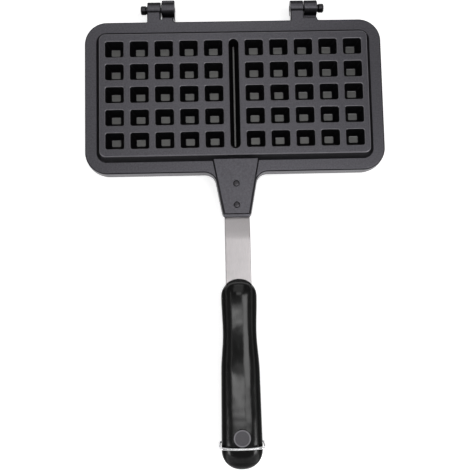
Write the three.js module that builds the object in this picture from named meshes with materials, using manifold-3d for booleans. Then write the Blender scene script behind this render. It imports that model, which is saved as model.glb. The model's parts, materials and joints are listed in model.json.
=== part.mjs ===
// Stovetop waffle iron: two hinged cast plates with hollow pegs, riveted steel straps,
// moulded grips and a wire bail that latches the grips together.
//
// Millimetres, +Z up, +Y from the grips towards the hinge. Each half is modelled lying on the
// parting plane, Z = 0, with the centre of its plate at X = Y = 0 and its outer face up. The lower
// half is the same half turned over about the Y axis. At the end the whole iron is moved so that
// its origin is at the bottom centre of its bounding box.
import * as THREE from 'three';
import {
  mergeGeometries, mergeVertices, toCreasedNormals,
} from 'three/addons/utils/BufferGeometryUtils.js';
import Module from 'manifold-3d';

const wasm = await Module();
wasm.setup();

// Fits and small allowances
const fitGap = 0.3;            // between neighbouring pieces
const overrun = 1;             // how far a cut runs past the face that it opens
const weldDistance = 0.0001;

// Grid of pegs, and the pocket in the back of each
const columnPitch = 19.2;
const rowPitch = 18.08;
const columnsPerField = 5;
const rowsPerField = 5;
const firstColumnX = 15.83;    // from the centre line to the first column
const pocketMouthHalfX = 7.3;
const pocketMouthHalfY = 6.4;
const pocketFloorHalfX = 4;
const pocketFloorHalfY = 3.1;
const pocketDepth = 9.05;
const pocketCornerRadius = 1.3;
const pegWall = 1.8;
const pegTipThickness = 2.5;

// Groove between the two fields, and the divider behind it
const grooveMouthHalfWidth = 4;
const grooveFloorHalfWidth = 1;
const grooveEndPastPockets = 0.9;

// Plate
const flangeThickness = 7.4;
const panelRise = 6.2;
const panelWebThickness = 2.5;
const panelWallThickness = 2.6;
const panelMarginX = 4.2;      // from the outer pockets' mouths to the panel's edge
const panelMarginY = 5.6;
const panelDraft = 3.4;
const panelEdgeRound = 0.6;
const panelCornerRadius = 4.4;
const flangeWidth = 9.6;       // in front of the panel and behind it
const flangeSideWidth = 9.95;
const flangeDraft = 0.6;
const flangeEdgeRound = 0.8;
const flangeCornerRadius = 18;
const overflowWidth = 3.2;
const overflowDepth = 1.5;
const overflowFromEdge = 4.6;

// Tang that carries the strap
const tangLength = 34.1;
const tangRootHalfWidth = 17.4;
const tangEndHalfWidth = 11.1;
const tangRootFillet = 9;
const tangEndRadius = 3;
const tangPadRise = 1.8;
const tangPadInset = 1.1;
const tangPadDraft = 0.85;
const tangPadSetback = 2.4;
const tangPadEdgeRound = 0.35;
const tangSkin = 3.1;
const tangLipLength = 0.7;
const tangLipHalfWidth = 9.8;
const tangLipFall = 1.2;
const channelStart = 4.6;      // from the flange's root line to the strap channel

// Hinge
const hingeReach = 12.1;       // from the flange's edge to the hinge axis
const knuckleRadius = 6.05;
const knuckleLength = 10.3;
const knuckleGap = 0.8;
const knuckleInnerX = 46.3;
const knuckleWebThickness = 3.5;
const hingeTabReach = 3.8;
const hingeTabOuterReach = 2.3;  // beside the outer knuckle
const hingeTabFillet = 1;
const hingeTabCornerRadius = 1.2;
const lugReach = 7.5;
const heelLength = 1.55;
const heelHalfHeight = 2;
const pinRadius = 2;
const pinStickOut = 0.4;
const pinCollarRadius = 3;
const pinCollarLength = 0.8;
const pinHeadRadius = 3.45;
const pinHeadLength = 4.6;
const pinHeadChamfer = 0.6;

// Strap
const strapWidth = 19.6;
const strapThickness = 2.3;
const strapBelowCrown = 5.1;   // from the top of the grip down to the strap
const strapRampStart = 2;      // from the tang's end to the first bend
const strapRampLength = 13.4;
const strapLowerBendRadius = 6;
const strapUpperBendRadius = 15;
const strapFreeLength = 48.1;  // from the tang's end to the grip's nose
const strapPastScrew = 9.5;

// Rivets
const rivetFromTangEnd = 8.8;
const rivetSpacing = 16.6;
const rivetHeadRadius = 2.45;
const rivetHeadThickness = 0.7;
const rivetRecessDepth = 0.6;
const rivetShankRadius = 1.6;
const rivetTailRadius = 2.6;
const rivetTailThickness = 1.2;

// Grip
const gripLength = 143.5;
const gripHeight = 15.5;
const gripSideHeight = 5.5;
const gripNoseHalfWidth = 13.7;
const gripWaistHalfWidth = 12.95;
const gripPalmHalfWidth = 14.8;
const gripHeelHalfWidth = 15.6;
const gripWaistDrop = 1.4;     // how much lower the crown is at the waist
const gripNoseDrop = 0.4;
const gripWaistFromNose = 40;
const gripPalmFromNose = 72;
const gripEndRoundLength = 16;
const gripCrownFallLength = 22.4;  // over which the crown falls to the grip's end
const gripLipWidth = 1.7;
const gripLipHeight = 11.9;
const gripNoseSideHeight = 10.3;
const gripNoseSectionHeight = 10.6;
const gripCrownPower = 0.92;   // below 1 the crown is fuller than an ellipse
const gripNosePower = 0.7;     // the same for the nose seen from above

// Screw boss, cap and screw near the grip's end
const bossFromEnd = 26.5;
const bossRadius = 6.3;
const bossRise = 0.5;
const capThickness = 1;
const capEdgeRound = 0.35;
const capStemLength = 0.9;
const screwBoreRadius = 4.5;
const screwSeatWall = 1.8;
const screwHeadRadius = 3.9;
const screwHeadThickness = 2;
const screwShankRadius = 2;
const screwShankReach = 5;     // below the strap

// Wire bail
const wireRadius = 0.9;
const bailFromEnd = 18.8;      // from the grip's end to the bail's axis
const bailAxisDepth = 5.5;     // below the parting plane
const bailCrownGap = 0.35;
const bailSideGap = 0.6;
const bailArchDrop = 2.9;
const bailArchInset = 0.2;    // from the grip's widest place to the arch's end
const bailShoulderDrop = 1.7;
const bailElbowRadius = 1.6;
const bailPinLength = 4;

// Facets
const flangeCornerSteps = 5;
const filletSteps = 3;
const smallCornerSteps = 2;
const pocketCornerSteps = 1;
const grooveEndSteps = 4;
const roundSides = 18;
const smallRoundSides = 12;
const wireSides = 8;
const bendSteps = 3;
const crownSteps = 12;
const noseSteps = 5;
const bodySteps = 9;
const endSteps = 6;
const archSteps = 8;
const domeTipShare = 0.15;     // of the last step, where a dome's smallest ring lies
const creaseAngle = Math.PI / 5;

// Places worked out from the sizes above
const firstOuterColumnX = firstColumnX + (columnsPerField - 1) * columnPitch;
const fieldHalfX = firstOuterColumnX + pocketMouthHalfX;
const fieldHalfY = (rowsPerField - 1) / 2 * rowPitch + pocketMouthHalfY;
const partingZ = fitGap / 2;
const flangeTopZ = partingZ + flangeThickness;
const panelTopZ = flangeTopZ + panelRise;
const webZ = panelTopZ - panelWebThickness;
const pocketFloorZ = panelTopZ - pocketDepth;
const pegTipZ = pocketFloorZ - pegTipThickness;
const panelHalfX = fieldHalfX + panelMarginX;
const panelHalfY = fieldHalfY + panelMarginY;
const footHalfX = panelHalfX + panelDraft;
const footHalfY = panelHalfY + panelDraft;
const flangeHalfX = footHalfX + flangeSideWidth;
const flangeHalfY = footHalfY + flangeWidth;
const tangEndY = -(flangeHalfY + tangLength);
const tangPadTopZ = flangeTopZ + tangPadRise;
const strapTopZ = tangPadTopZ - tangSkin - fitGap;
const strapBottomZ = strapTopZ - strapThickness;
const strapLevelTopZ = partingZ + gripHeight - strapBelowCrown;
const strapLevelBottomZ = strapLevelTopZ - strapThickness;
const channelHalfWidth = strapWidth / 2 + fitGap;
const channelEndY = -(footHalfY + channelStart);
const rivetFrontY = tangEndY + rivetFromTangEnd;
const rivetRearY = rivetFrontY + rivetSpacing;
const rivetRecessZ = tangPadTopZ - rivetRecessDepth;
const hingeY = flangeHalfY + hingeReach;
const knuckleInnerEndX = knuckleInnerX + knuckleLength;
const knuckleOuterX = knuckleInnerEndX + knuckleGap;
const hingeTabOuterX = knuckleOuterX + knuckleLength;
const gripNoseY = tangEndY - strapFreeLength;
const gripEndY = gripNoseY - gripLength;
const gripNoseCentreY = gripNoseY - gripNoseHalfWidth;
const gripWaistY = gripNoseY - gripWaistFromNose;
const gripPalmY = gripNoseY - gripPalmFromNose;
const gripEndCentreY = gripEndY + gripEndRoundLength;
const slotTopZ = strapLevelTopZ + fitGap;
const slotBottomZ = strapLevelBottomZ - fitGap;
const bossY = gripEndY + bossFromEnd;
const strapInnerEndY = bossY - strapPastScrew;
const bossTopZ = partingZ + gripHeight + bossRise;
const capTopZ = bossTopZ + fitGap + capThickness;
const screwSeatZ = slotTopZ + screwSeatWall;
const bailAxisY = gripEndY + bailFromEnd;
const bailBarTopZ = partingZ + gripHeight + bailCrownGap + wireRadius;
const bailLegX = gripHeelHalfWidth + bailSideGap + wireRadius;
const bailPinEndX = bailLegX - wireRadius - bailPinLength;
const bailArchHalfSpan = gripHeelHalfWidth - bailArchInset;

// Geometry helpers

// Joins a list of rings with equal point counts into one closed body. Each ring runs
// counter-clockwise when seen from the last ring's side, and `flat` lays a ring out in 2-D
// to close the two ends.
function loft(rings, flat) {
  const count = rings[0].length;
  const vertices = rings.flat().flatMap((point) => [point.x, point.y, point.z]);
  const triangles = [];
  for (let level = 0; level + 1 < rings.length; level += 1) {
    for (let step = 0; step < count; step += 1) {
      const here = level * count + step;
      const next = level * count + (step + 1) % count;
      triangles.push(here, next, next + count, here, next + count, here + count);
    }
  }
  const lastStart = (rings.length - 1) * count;
  for (const face of THREE.ShapeUtils.triangulateShape(rings.at(-1).map(flat), [])) {
    triangles.push(lastStart + face[0], lastStart + face[1], lastStart + face[2]);
  }
  for (const face of THREE.ShapeUtils.triangulateShape(rings[0].map(flat), [])) {
    triangles.push(face[0], face[2], face[1]);
  }
  const geometry = new THREE.BufferGeometry();
  geometry.setAttribute('position', new THREE.Float32BufferAttribute(vertices, 3));
  geometry.setIndex(triangles);
  return geometry;
}

const seenFromAbove = (point) => new THREE.Vector2(point.x, point.y);
const seenFromEnd = (point) => new THREE.Vector2(point.x, point.z);
const seenFromSide = (point) => new THREE.Vector2(point.y, point.z);

// Outline lifted to a height
function atHeight(outline, z) {
  return outline.map((point) => new THREE.Vector3(point.x, point.y, z));
}

// Body between outlines at rising heights, given as [outline, height] pairs
function stack(levels) {
  return loft(levels.map(([outline, z]) => atHeight(outline, z)), seenFromAbove);
}

// Closed outline through corners {x, y, radius, steps}, with each corner rounded by an arc
function roundCorners(corners) {
  const outline = [];
  corners.forEach((corner, index) => {
    const point = new THREE.Vector2(corner.x, corner.y);
    if (!corner.radius) {
      outline.push(point);
      return;
    }
    const before = corners.at(index - 1);
    const after = corners[(index + 1) % corners.length];
    const back = new THREE.Vector2(before.x, before.y).sub(point).normalize();
    const ahead = new THREE.Vector2(after.x, after.y).sub(point).normalize();
    const halfAngle = Math.acos(THREE.MathUtils.clamp(back.dot(ahead), -1, 1)) / 2;
    const inward = back.clone().add(ahead).normalize();
    const centre = point.clone().addScaledVector(inward, corner.radius / Math.sin(halfAngle));
    const tangentLength = corner.radius / Math.tan(halfAngle);
    const start = point.clone().addScaledVector(back, tangentLength).sub(centre);
    const end = point.clone().addScaledVector(ahead, tangentLength).sub(centre);
    const turn = Math.atan2(start.cross(end), start.dot(end));
    for (let step = 0; step <= corner.steps; step += 1) {
      const arm = start.clone().rotateAround(new THREE.Vector2(), turn * step / corner.steps);
      outline.push(centre.clone().add(arm));
    }
  });
  return outline;
}

function roundedRectangle(halfX, halfY, radius, steps) {
  return roundCorners([
    { x: halfX, y: -halfY, radius, steps },
    { x: halfX, y: halfY, radius, steps },
    { x: -halfX, y: halfY, radius, steps },
    { x: -halfX, y: -halfY, radius, steps },
  ]);
}

// Straight box between two corners
function block(low, high) {
  const size = high.clone().sub(low);
  const centre = low.clone().add(high).divideScalar(2);
  return new THREE.BoxGeometry(size.x, size.y, size.z).translate(centre.x, centre.y, centre.z);
}

// Round bar along Z between two heights
function uprightRod(radius, lowZ, highZ, sides, x, y) {
  return new THREE.CylinderGeometry(radius, radius, highZ - lowZ, sides)
    .rotateX(Math.PI / 2)
    .translate(x, y, (lowZ + highZ) / 2);
}

// Round bar along X between two places
function levelRod(radius, lowX, highX, sides, y, z) {
  return new THREE.CylinderGeometry(radius, radius, highX - lowX, sides)
    .rotateZ(Math.PI / 2)
    .translate((lowX + highX) / 2, y, z);
}

// Turned body about Z, from [radius, height] pairs that start and end on the axis
function turned(profile, sides, x, y) {
  const points = profile.map(([radius, z]) => new THREE.Vector2(radius, z));
  return new THREE.LatheGeometry(points, sides).rotateX(Math.PI / 2).translate(x, y, 0);
}

function toSolid(geometry) {
  const bare = geometry.clone();
  bare.deleteAttribute('normal');
  bare.deleteAttribute('uv');
  const merged = mergeVertices(bare, weldDistance);
  return new wasm.Manifold(new wasm.Mesh({
    numProp: 3,
    vertProperties: merged.attributes.position.array,
    triVerts: merged.index.array,
  }));
}

function toGeometry(solid) {
  const mesh = solid.getMesh();
  const geometry = new THREE.BufferGeometry();
  geometry.setAttribute('position', new THREE.BufferAttribute(mesh.vertProperties, 3));
  geometry.setIndex(new THREE.BufferAttribute(mesh.triVerts, 1));
  return geometry;
}

// Same body with one geometry after another added or cut away
function join(solid, ...geometries) {
  return geometries.reduce((whole, geometry) => whole.add(toSolid(geometry)), solid);
}

function cut(solid, ...geometries) {
  return geometries.reduce((whole, geometry) => whole.subtract(toSolid(geometry)), solid);
}

// Copies of one geometry at every place of the two fields, as a single geometry
function overPegGrid(geometry) {
  const copies = [];
  for (const side of [-1, 1]) {
    for (let column = 0; column < columnsPerField; column += 1) {
      for (let row = 0; row < rowsPerField; row += 1) {
        const x = side * (firstColumnX + column * columnPitch);
        const y = (row - (rowsPerField - 1) / 2) * rowPitch;
        copies.push(geometry.clone().translate(x, y, 0));
      }
    }
  }
  return mergeGeometries(copies);
}

// Plate casting

// Outline of flange, tang and hinge tabs, drawn in by `inset` for the draft and the rounded edge
function plateOutline(inset) {
  const halfX = flangeHalfX - inset;
  const halfY = flangeHalfY - inset;
  const flangeRadius = flangeCornerRadius - inset;
  const rootHalf = tangRootHalfWidth - inset;
  const endHalf = tangEndHalfWidth - inset;
  const endY = tangEndY + inset;
  const tabY = flangeHalfY + hingeTabReach - inset;
  const tabOuterY = flangeHalfY + hingeTabOuterReach - inset;
  const tabOuter = hingeTabOuterX - inset;
  const tabStep = knuckleInnerEndX - inset;
  const tabInner = knuckleInnerX + inset;
  const end = { radius: tangEndRadius - inset, steps: smallCornerSteps };
  const root = { radius: tangRootFillet + inset, steps: filletSteps };
  const flange = { radius: flangeRadius, steps: flangeCornerSteps };
  const tabRoot = { radius: hingeTabFillet + inset, steps: smallCornerSteps };
  const tabEnd = { radius: Math.max(hingeTabCornerRadius - inset, fitGap), steps: smallCornerSteps };
  return roundCorners([
    { x: -endHalf, y: endY, ...end },
    { x: endHalf, y: endY, ...end },
    { x: rootHalf, y: -halfY, ...root },
    { x: halfX, y: -halfY, ...flange },
    { x: halfX, y: halfY, ...flange },
    { x: tabOuter, y: halfY, ...tabRoot },
    { x: tabOuter, y: tabOuterY, ...tabEnd },
    { x: tabStep, y: tabOuterY },
    { x: tabStep, y: tabY },
    { x: tabInner, y: tabY, ...tabEnd },
    { x: tabInner, y: halfY, ...tabRoot },
    { x: -tabInner, y: halfY, ...tabRoot },
    { x: -tabInner, y: tabY, ...tabEnd },
    { x: -tabStep, y: tabY },
    { x: -tabStep, y: tabOuterY },
    { x: -tabOuter, y: tabOuterY, ...tabEnd },
    { x: -tabOuter, y: halfY, ...tabRoot },
    { x: -halfX, y: halfY, ...flange },
    { x: -halfX, y: -halfY, ...flange },
    { x: -rootHalf, y: -halfY, ...root },
  ]);
}

function flangeBody() {
  const edgeLowZ = flangeTopZ - flangeEdgeRound;
  const edgeMiddleZ = flangeTopZ - flangeEdgeRound * (1 - Math.SQRT1_2);
  const edgeMiddleInset = flangeDraft + flangeEdgeRound * (1 - Math.SQRT1_2);
  return stack([
    [plateOutline(0), partingZ],
    [plateOutline(flangeDraft), edgeLowZ],
    [plateOutline(edgeMiddleInset), edgeMiddleZ],
    [plateOutline(flangeDraft + flangeEdgeRound), flangeTopZ],
  ]);
}

function panelOutline(grow) {
  const radius = panelCornerRadius + grow;
  return roundedRectangle(panelHalfX + grow, panelHalfY + grow, radius, flangeCornerSteps);
}

function panelBody() {
  const edgeLowZ = panelTopZ - panelEdgeRound;
  const edgeLowGrow = panelDraft * panelEdgeRound / panelRise;
  const edgeMiddleZ = panelTopZ - panelEdgeRound * (1 - Math.SQRT1_2);
  const edgeMiddleInset = panelEdgeRound * (1 - Math.SQRT1_2);
  return stack([
    [panelOutline(panelDraft), flangeTopZ - overrun],
    [panelOutline(panelDraft), flangeTopZ],
    [panelOutline(edgeLowGrow), edgeLowZ],
    [panelOutline(-edgeMiddleInset), edgeMiddleZ],
    [panelOutline(-panelEdgeRound), panelTopZ],
  ]);
}

// Batter space inside the panel, open at the parting plane
function batterSpace() {
  const ceilingGrow = panelDraft * panelWebThickness / panelRise - panelWallThickness;
  const flangeGrow = panelDraft - panelWallThickness;
  return stack([
    [panelOutline(flangeGrow + flangeDraft), partingZ - overrun],
    [panelOutline(flangeGrow + flangeDraft), partingZ],
    [panelOutline(flangeGrow), flangeTopZ],
    [panelOutline(ceilingGrow), webZ],
  ]);
}

// Half width of a pocket's wall at a height, between its floor and its mouth
function taper(floorHalf, mouthHalf, z) {
  return floorHalf + (mouthHalf - floorHalf) * (z - pocketFloorZ) / pocketDepth;
}

function pegOutline(z, wall) {
  const halfX = taper(pocketFloorHalfX, pocketMouthHalfX, z) + wall;
  const halfY = taper(pocketFloorHalfY, pocketMouthHalfY, z) + wall;
  return roundedRectangle(halfX, halfY, pocketCornerRadius, pocketCornerSteps);
}

function pocketCut() {
  const aboveZ = panelTopZ + overrun;
  return stack([[pegOutline(pocketFloorZ, 0), pocketFloorZ], [pegOutline(aboveZ, 0), aboveZ]]);
}

function pegBody() {
  const rootZ = webZ + panelWebThickness / 2;
  return stack([[pegOutline(pegTipZ, pegWall), pegTipZ], [pegOutline(rootZ, pegWall), rootZ]]);
}

// Long oval of the groove between the fields, or of the divider behind it
function grooveOutline(z, wall) {
  const halfX = taper(grooveFloorHalfWidth, grooveMouthHalfWidth, z) + wall;
  const mouthEnd = fieldHalfY + grooveEndPastPockets;
  const halfY = mouthEnd - grooveMouthHalfWidth + halfX;
  return roundedRectangle(halfX, halfY, halfX, grooveEndSteps);
}

function grooveCut() {
  const aboveZ = panelTopZ + overrun;
  return stack([[grooveOutline(pocketFloorZ, 0), pocketFloorZ], [grooveOutline(aboveZ, 0), aboveZ]]);
}

function dividerBody() {
  const rootZ = webZ + panelWebThickness / 2;
  return stack([[grooveOutline(pegTipZ, pegWall), pegTipZ], [grooveOutline(rootZ, pegWall), rootZ]]);
}

// Shallow channel round the batter space that takes the overflow
function overflowCut() {
  const outer = (z) => {
    const halfX = flangeHalfX - overflowFromEdge;
    const halfY = flangeHalfY - overflowFromEdge;
    return [roundedRectangle(halfX, halfY, flangeCornerRadius - overflowFromEdge, flangeCornerSteps), z];
  };
  const inner = (z) => {
    const inset = overflowFromEdge + overflowWidth;
    const halfX = flangeHalfX - inset;
    const halfY = flangeHalfY - inset;
    return [roundedRectangle(halfX, halfY, flangeCornerRadius - inset, flangeCornerSteps), z];
  };
  const lowZ = partingZ - overrun;
  const highZ = partingZ + overflowDepth;
  const island = stack([inner(lowZ - overrun), inner(highZ + overrun)]);
  return cut(toSolid(stack([outer(lowZ), outer(highZ)])), island);
}

// Raised pad on top of the tang, running back under the panel's wall
function tangPad() {
  const slope = (tangRootHalfWidth - tangEndHalfWidth) / tangLength;
  const rearY = -panelHalfY;
  const frontY = tangEndY + tangPadSetback;
  const outline = (inset) => {
    const rearHalf = tangEndHalfWidth + slope * (rearY - tangEndY) - tangPadInset - inset;
    const frontHalf = tangEndHalfWidth + slope * tangPadSetback - tangPadInset - inset;
    const corner = { radius: tangPadEdgeRound, steps: smallCornerSteps };
    return roundCorners([
      { x: -frontHalf, y: frontY + inset, ...corner },
      { x: frontHalf, y: frontY + inset, ...corner },
      { x: rearHalf, y: rearY },
      { x: -rearHalf, y: rearY },
    ]);
  };
  return stack([
    [outline(0), flangeTopZ - overrun],
    [outline(0), flangeTopZ],
    [outline(tangPadDraft), tangPadTopZ - tangPadEdgeRound],
    [outline(tangPadDraft + tangPadEdgeRound), tangPadTopZ],
  ]);
}

// Sloping lip at the tang's end, over the strap
function tangLip() {
  const rearY = tangEndY + tangPadSetback + tangPadDraft + tangPadEdgeRound;
  const frontY = tangEndY - tangLipLength;
  const lowZ = strapTopZ + fitGap;
  const rearTopZ = tangPadTopZ - tangPadEdgeRound;
  const section = (x) => [
    new THREE.Vector3(x, frontY, lowZ),
    new THREE.Vector3(x, rearY, lowZ),
    new THREE.Vector3(x, rearY, rearTopZ),
    new THREE.Vector3(x, frontY, rearTopZ - tangLipFall),
  ];
  return loft([section(-tangLipHalfWidth), section(tangLipHalfWidth)], seenFromSide);
}

function strapChannelCut() {
  const low = new THREE.Vector3(-channelHalfWidth, tangEndY - tangLipLength - overrun, partingZ - overrun);
  const high = new THREE.Vector3(channelHalfWidth, channelEndY, strapTopZ + fitGap);
  return block(low, high);
}

function rivetCuts() {
  return [rivetFrontY, rivetRearY].flatMap((y) => [
    uprightRod(rivetShankRadius + fitGap, strapTopZ - overrun, tangPadTopZ + overrun, smallRoundSides, 0, y),
    uprightRod(rivetHeadRadius + fitGap, rivetRecessZ, tangPadTopZ + overrun, smallRoundSides, 0, y),
  ]);
}

// One lug from the hinge tab out to a knuckle on the hinge axis
function hingeLug(lowX, highX) {
  const lugEndY = flangeHalfY + lugReach;
  const slabLow = new THREE.Vector3(lowX, flangeHalfY, partingZ);
  const slabHigh = new THREE.Vector3(highX, lugEndY, flangeTopZ);
  const webLow = new THREE.Vector3(lowX, flangeHalfY, partingZ);
  const webHigh = new THREE.Vector3(highX, hingeY, partingZ + knuckleWebThickness);
  const knuckle = levelRod(knuckleRadius, lowX, highX, roundSides, hingeY, 0);
  return join(toSolid(block(slabLow, slabHigh)), block(webLow, webHigh), knuckle);
}

function heel() {
  const low = new THREE.Vector3(knuckleInnerX, hingeY, -heelHalfHeight);
  const high = new THREE.Vector3(
    knuckleInnerEndX, hingeY + knuckleRadius + heelLength, heelHalfHeight,
  );
  return block(low, high);
}

// Bore through both pairs of knuckles
function pinBore() {
  const endX = hingeTabOuterX + overrun;
  return levelRod(pinRadius + fitGap, -endX, endX, smallRoundSides, hingeY, 0);
}

function plateCasting(withHeel) {
  let plate = join(toSolid(flangeBody()), panelBody(), tangPad(), tangLip());
  plate = plate.add(hingeLug(knuckleInnerX, knuckleInnerEndX));
  plate = plate.add(hingeLug(-hingeTabOuterX, -knuckleOuterX));
  if (withHeel) {
    plate = join(plate, heel());
  }
  plate = cut(plate, batterSpace());
  plate = join(plate, overPegGrid(pegBody()), dividerBody());
  plate = cut(plate, overPegGrid(pocketCut()), grooveCut(), strapChannelCut(), pinBore(), ...rivetCuts());
  return toGeometry(plate.subtract(overflowCut()));
}

// Strap

// Side of the strap, as Y across and Z up, with a ramp between its two level stretches
function strapSideOutline() {
  const rampStartY = tangEndY - strapRampStart;
  const rampEndY = rampStartY - strapRampLength;
  const rearY = channelEndY - fitGap;
  const slope = Math.atan2(strapLevelTopZ - strapTopZ, strapRampLength);
  const shift = strapThickness * Math.tan(slope / 2);
  const bend = (radius) => ({ radius, steps: bendSteps });
  return roundCorners([
    { x: strapInnerEndY, y: strapLevelBottomZ },
    { x: rampEndY, y: strapLevelBottomZ, ...bend(strapUpperBendRadius) },
    { x: rampStartY, y: strapBottomZ, ...bend(strapLowerBendRadius + strapThickness) },
    { x: rearY, y: strapBottomZ },
    { x: rearY, y: strapTopZ },
    { x: rampStartY + shift, y: strapTopZ, ...bend(strapLowerBendRadius) },
    { x: rampEndY + shift, y: strapLevelTopZ, ...bend(strapUpperBendRadius + strapThickness) },
    { x: strapInnerEndY, y: strapLevelTopZ },
  ]);
}

function strap() {
  const outline = strapSideOutline();
  const section = (x) => outline.map((point) => new THREE.Vector3(x, point.x, point.y));
  const bar = loft([section(-strapWidth / 2), section(strapWidth / 2)], seenFromSide);
  const hole = (radius, y) => uprightRod(
    radius + fitGap, strapBottomZ - overrun, strapLevelTopZ + overrun, smallRoundSides, 0, y,
  );
  return toGeometry(cut(
    toSolid(bar),
    hole(rivetShankRadius, rivetFrontY),
    hole(rivetShankRadius, rivetRearY),
    hole(screwShankRadius, bossY),
  ));
}

function rivet(y) {
  const tailTopZ = strapBottomZ - fitGap;
  const headBottomZ = rivetRecessZ + fitGap;
  const headTopZ = headBottomZ + rivetHeadThickness;
  const crownRadius = rivetHeadRadius - rivetHeadThickness / 2;
  return turned([
    [0, tailTopZ - rivetTailThickness],
    [rivetTailRadius * Math.SQRT1_2, tailTopZ - rivetTailThickness],
    [rivetTailRadius, tailTopZ],
    [rivetShankRadius, tailTopZ],
    [rivetShankRadius, headBottomZ],
    [rivetHeadRadius, headBottomZ],
    [rivetHeadRadius, headTopZ - rivetHeadThickness / 2],
    [crownRadius, headTopZ],
    [0, headTopZ],
  ], smallRoundSides, 0, y);
}

// Grip

// Value that eases from one size to another between two places along the grip
function ease(fromValue, toValue, fromY, toY, y) {
  const share = THREE.MathUtils.clamp((y - fromY) / (toY - fromY), 0, 1);
  return fromValue + (toValue - fromValue) * (1 - Math.cos(Math.PI * share)) / 2;
}

// Share of a size that is left at a place, where it falls to the grip's end like a quarter oval
function endRound(y, length) {
  const share = Math.max(0, (gripEndY + length - y) / length);
  return Math.sqrt(Math.max(0, 1 - share * share));
}

function gripHalfWidth(y) {
  if (y > gripWaistY) {
    return ease(gripNoseHalfWidth, gripWaistHalfWidth, gripNoseCentreY, gripWaistY, y);
  }
  if (y > gripPalmY) {
    return ease(gripWaistHalfWidth, gripPalmHalfWidth, gripWaistY, gripPalmY, y);
  }
  const share = Math.min(1, (gripPalmY - y) / (gripPalmY - gripEndCentreY));
  const halfWidth = gripPalmHalfWidth + (gripHeelHalfWidth - gripPalmHalfWidth) * share;
  return halfWidth * endRound(y, gripEndRoundLength);
}

function gripCrownHeight(y) {
  const waistHeight = gripHeight - gripWaistDrop;
  if (y > gripWaistY) {
    return ease(gripHeight - gripNoseDrop, waistHeight, gripNoseCentreY, gripWaistY, y);
  }
  return ease(waistHeight, gripHeight, gripWaistY, gripPalmY, y) * endRound(y, gripCrownFallLength);
}

// Section of the grip: flat underside, upright sides and an oval crown
function gripSection(y, halfWidth, sideHeight, height) {
  const ring = [new THREE.Vector3(halfWidth, y, partingZ)];
  for (let step = 0; step <= crownSteps; step += 1) {
    const angle = Math.PI * step / crownSteps;
    const across = Math.sign(Math.cos(angle)) * Math.abs(Math.cos(angle)) ** gripCrownPower;
    const up = Math.sin(angle) ** gripCrownPower;
    const z = partingZ + sideHeight + (height - sideHeight) * up;
    ring.push(new THREE.Vector3(halfWidth * across, y, z));
  }
  ring.push(new THREE.Vector3(-halfWidth, y, partingZ));
  return ring;
}

// Nose set back behind its lip, rising like a quarter of a dome
function noseSections() {
  const sections = [];
  for (let step = 0; step <= noseSteps; step += 1) {
    const angle = Math.PI / 2 * Math.max(step, domeTipShare) / noseSteps;
    const y = gripNoseCentreY + (gripNoseHalfWidth - gripLipWidth) * Math.cos(angle);
    const rise = gripHeight - gripNoseDrop - gripNoseSectionHeight;
    const sideRise = gripNoseSideHeight - gripSideHeight;
    const sideHeight = gripSideHeight + sideRise * Math.cos(angle);
    const height = gripNoseSectionHeight + rise * Math.sin(angle);
    const halfWidth = gripNoseHalfWidth * Math.sin(angle) ** gripNosePower;
    sections.push(gripSection(y, halfWidth, sideHeight, height));
  }
  return sections;
}

function bodySection(y) {
  const sideHeight = gripSideHeight * endRound(y, gripCrownFallLength);
  return gripSection(y, gripHalfWidth(y), sideHeight, gripCrownHeight(y));
}

function bodySections() {
  const sections = [];
  for (let step = 1; step <= bodySteps; step += 1) {
    sections.push(bodySection(gripNoseCentreY + (gripEndCentreY - gripNoseCentreY) * step / bodySteps));
  }
  return sections;
}

function endSections() {
  const sections = [];
  for (let step = 1; step <= endSteps; step += 1) {
    const angle = Math.PI / 2 * Math.min(step, endSteps - domeTipShare) / endSteps;
    sections.push(bodySection(gripEndCentreY - gripEndRoundLength * Math.sin(angle)));
  }
  return sections;
}

// Rim of the grip's nose, as wide as the strap's slot below it
function noseLip() {
  const firstAngle = Math.acos(channelHalfWidth / gripNoseHalfWidth);
  const outline = (inset) => {
    const radius = gripNoseHalfWidth - inset;
    const points = [];
    for (let step = 0; step <= noseSteps * 2; step += 1) {
      const angle = firstAngle + (Math.PI - 2 * firstAngle) * step / (noseSteps * 2);
      points.push(new THREE.Vector2(radius * Math.cos(angle), gripNoseCentreY + radius * Math.sin(angle)));
    }
    return points;
  };
  const edgeRound = gripLipWidth / 4;
  return stack([
    [outline(0), partingZ],
    [outline(0), gripLipHeight - edgeRound],
    [outline(edgeRound), gripLipHeight],
  ]);
}

function strapSlotCut() {
  const low = new THREE.Vector3(-channelHalfWidth, strapInnerEndY - fitGap, slotBottomZ);
  const high = new THREE.Vector3(channelHalfWidth, gripNoseY + overrun, slotTopZ);
  return block(low, high);
}

function bailSocketCuts() {
  const innerX = bailPinEndX - fitGap;
  const outerX = gripHeelHalfWidth + overrun;
  const radius = wireRadius + fitGap;
  return [
    levelRod(radius, innerX, outerX, smallRoundSides, bailAxisY, bailAxisDepth),
    levelRod(radius, -outerX, -innerX, smallRoundSides, bailAxisY, bailAxisDepth),
  ];
}

function grip(withSockets) {
  const sections = [...noseSections(), ...bodySections(), ...endSections()];
  const bossBaseZ = bossTopZ - gripHeight / 2;
  let body = join(
    toSolid(loft(sections, seenFromEnd)),
    noseLip(),
    uprightRod(bossRadius, bossBaseZ, bossTopZ, roundSides, 0, bossY),
  );
  body = cut(
    body,
    strapSlotCut(),
    uprightRod(screwBoreRadius, screwSeatZ, bossTopZ + overrun, roundSides, 0, bossY),
    uprightRod(
      screwShankRadius + fitGap, strapLevelBottomZ - screwShankReach - fitGap, screwSeatZ + overrun,
      smallRoundSides, 0, bossY,
    ),
  );
  if (withSockets) {
    body = cut(body, ...bailSocketCuts());
  }
  return toGeometry(body);
}

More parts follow.
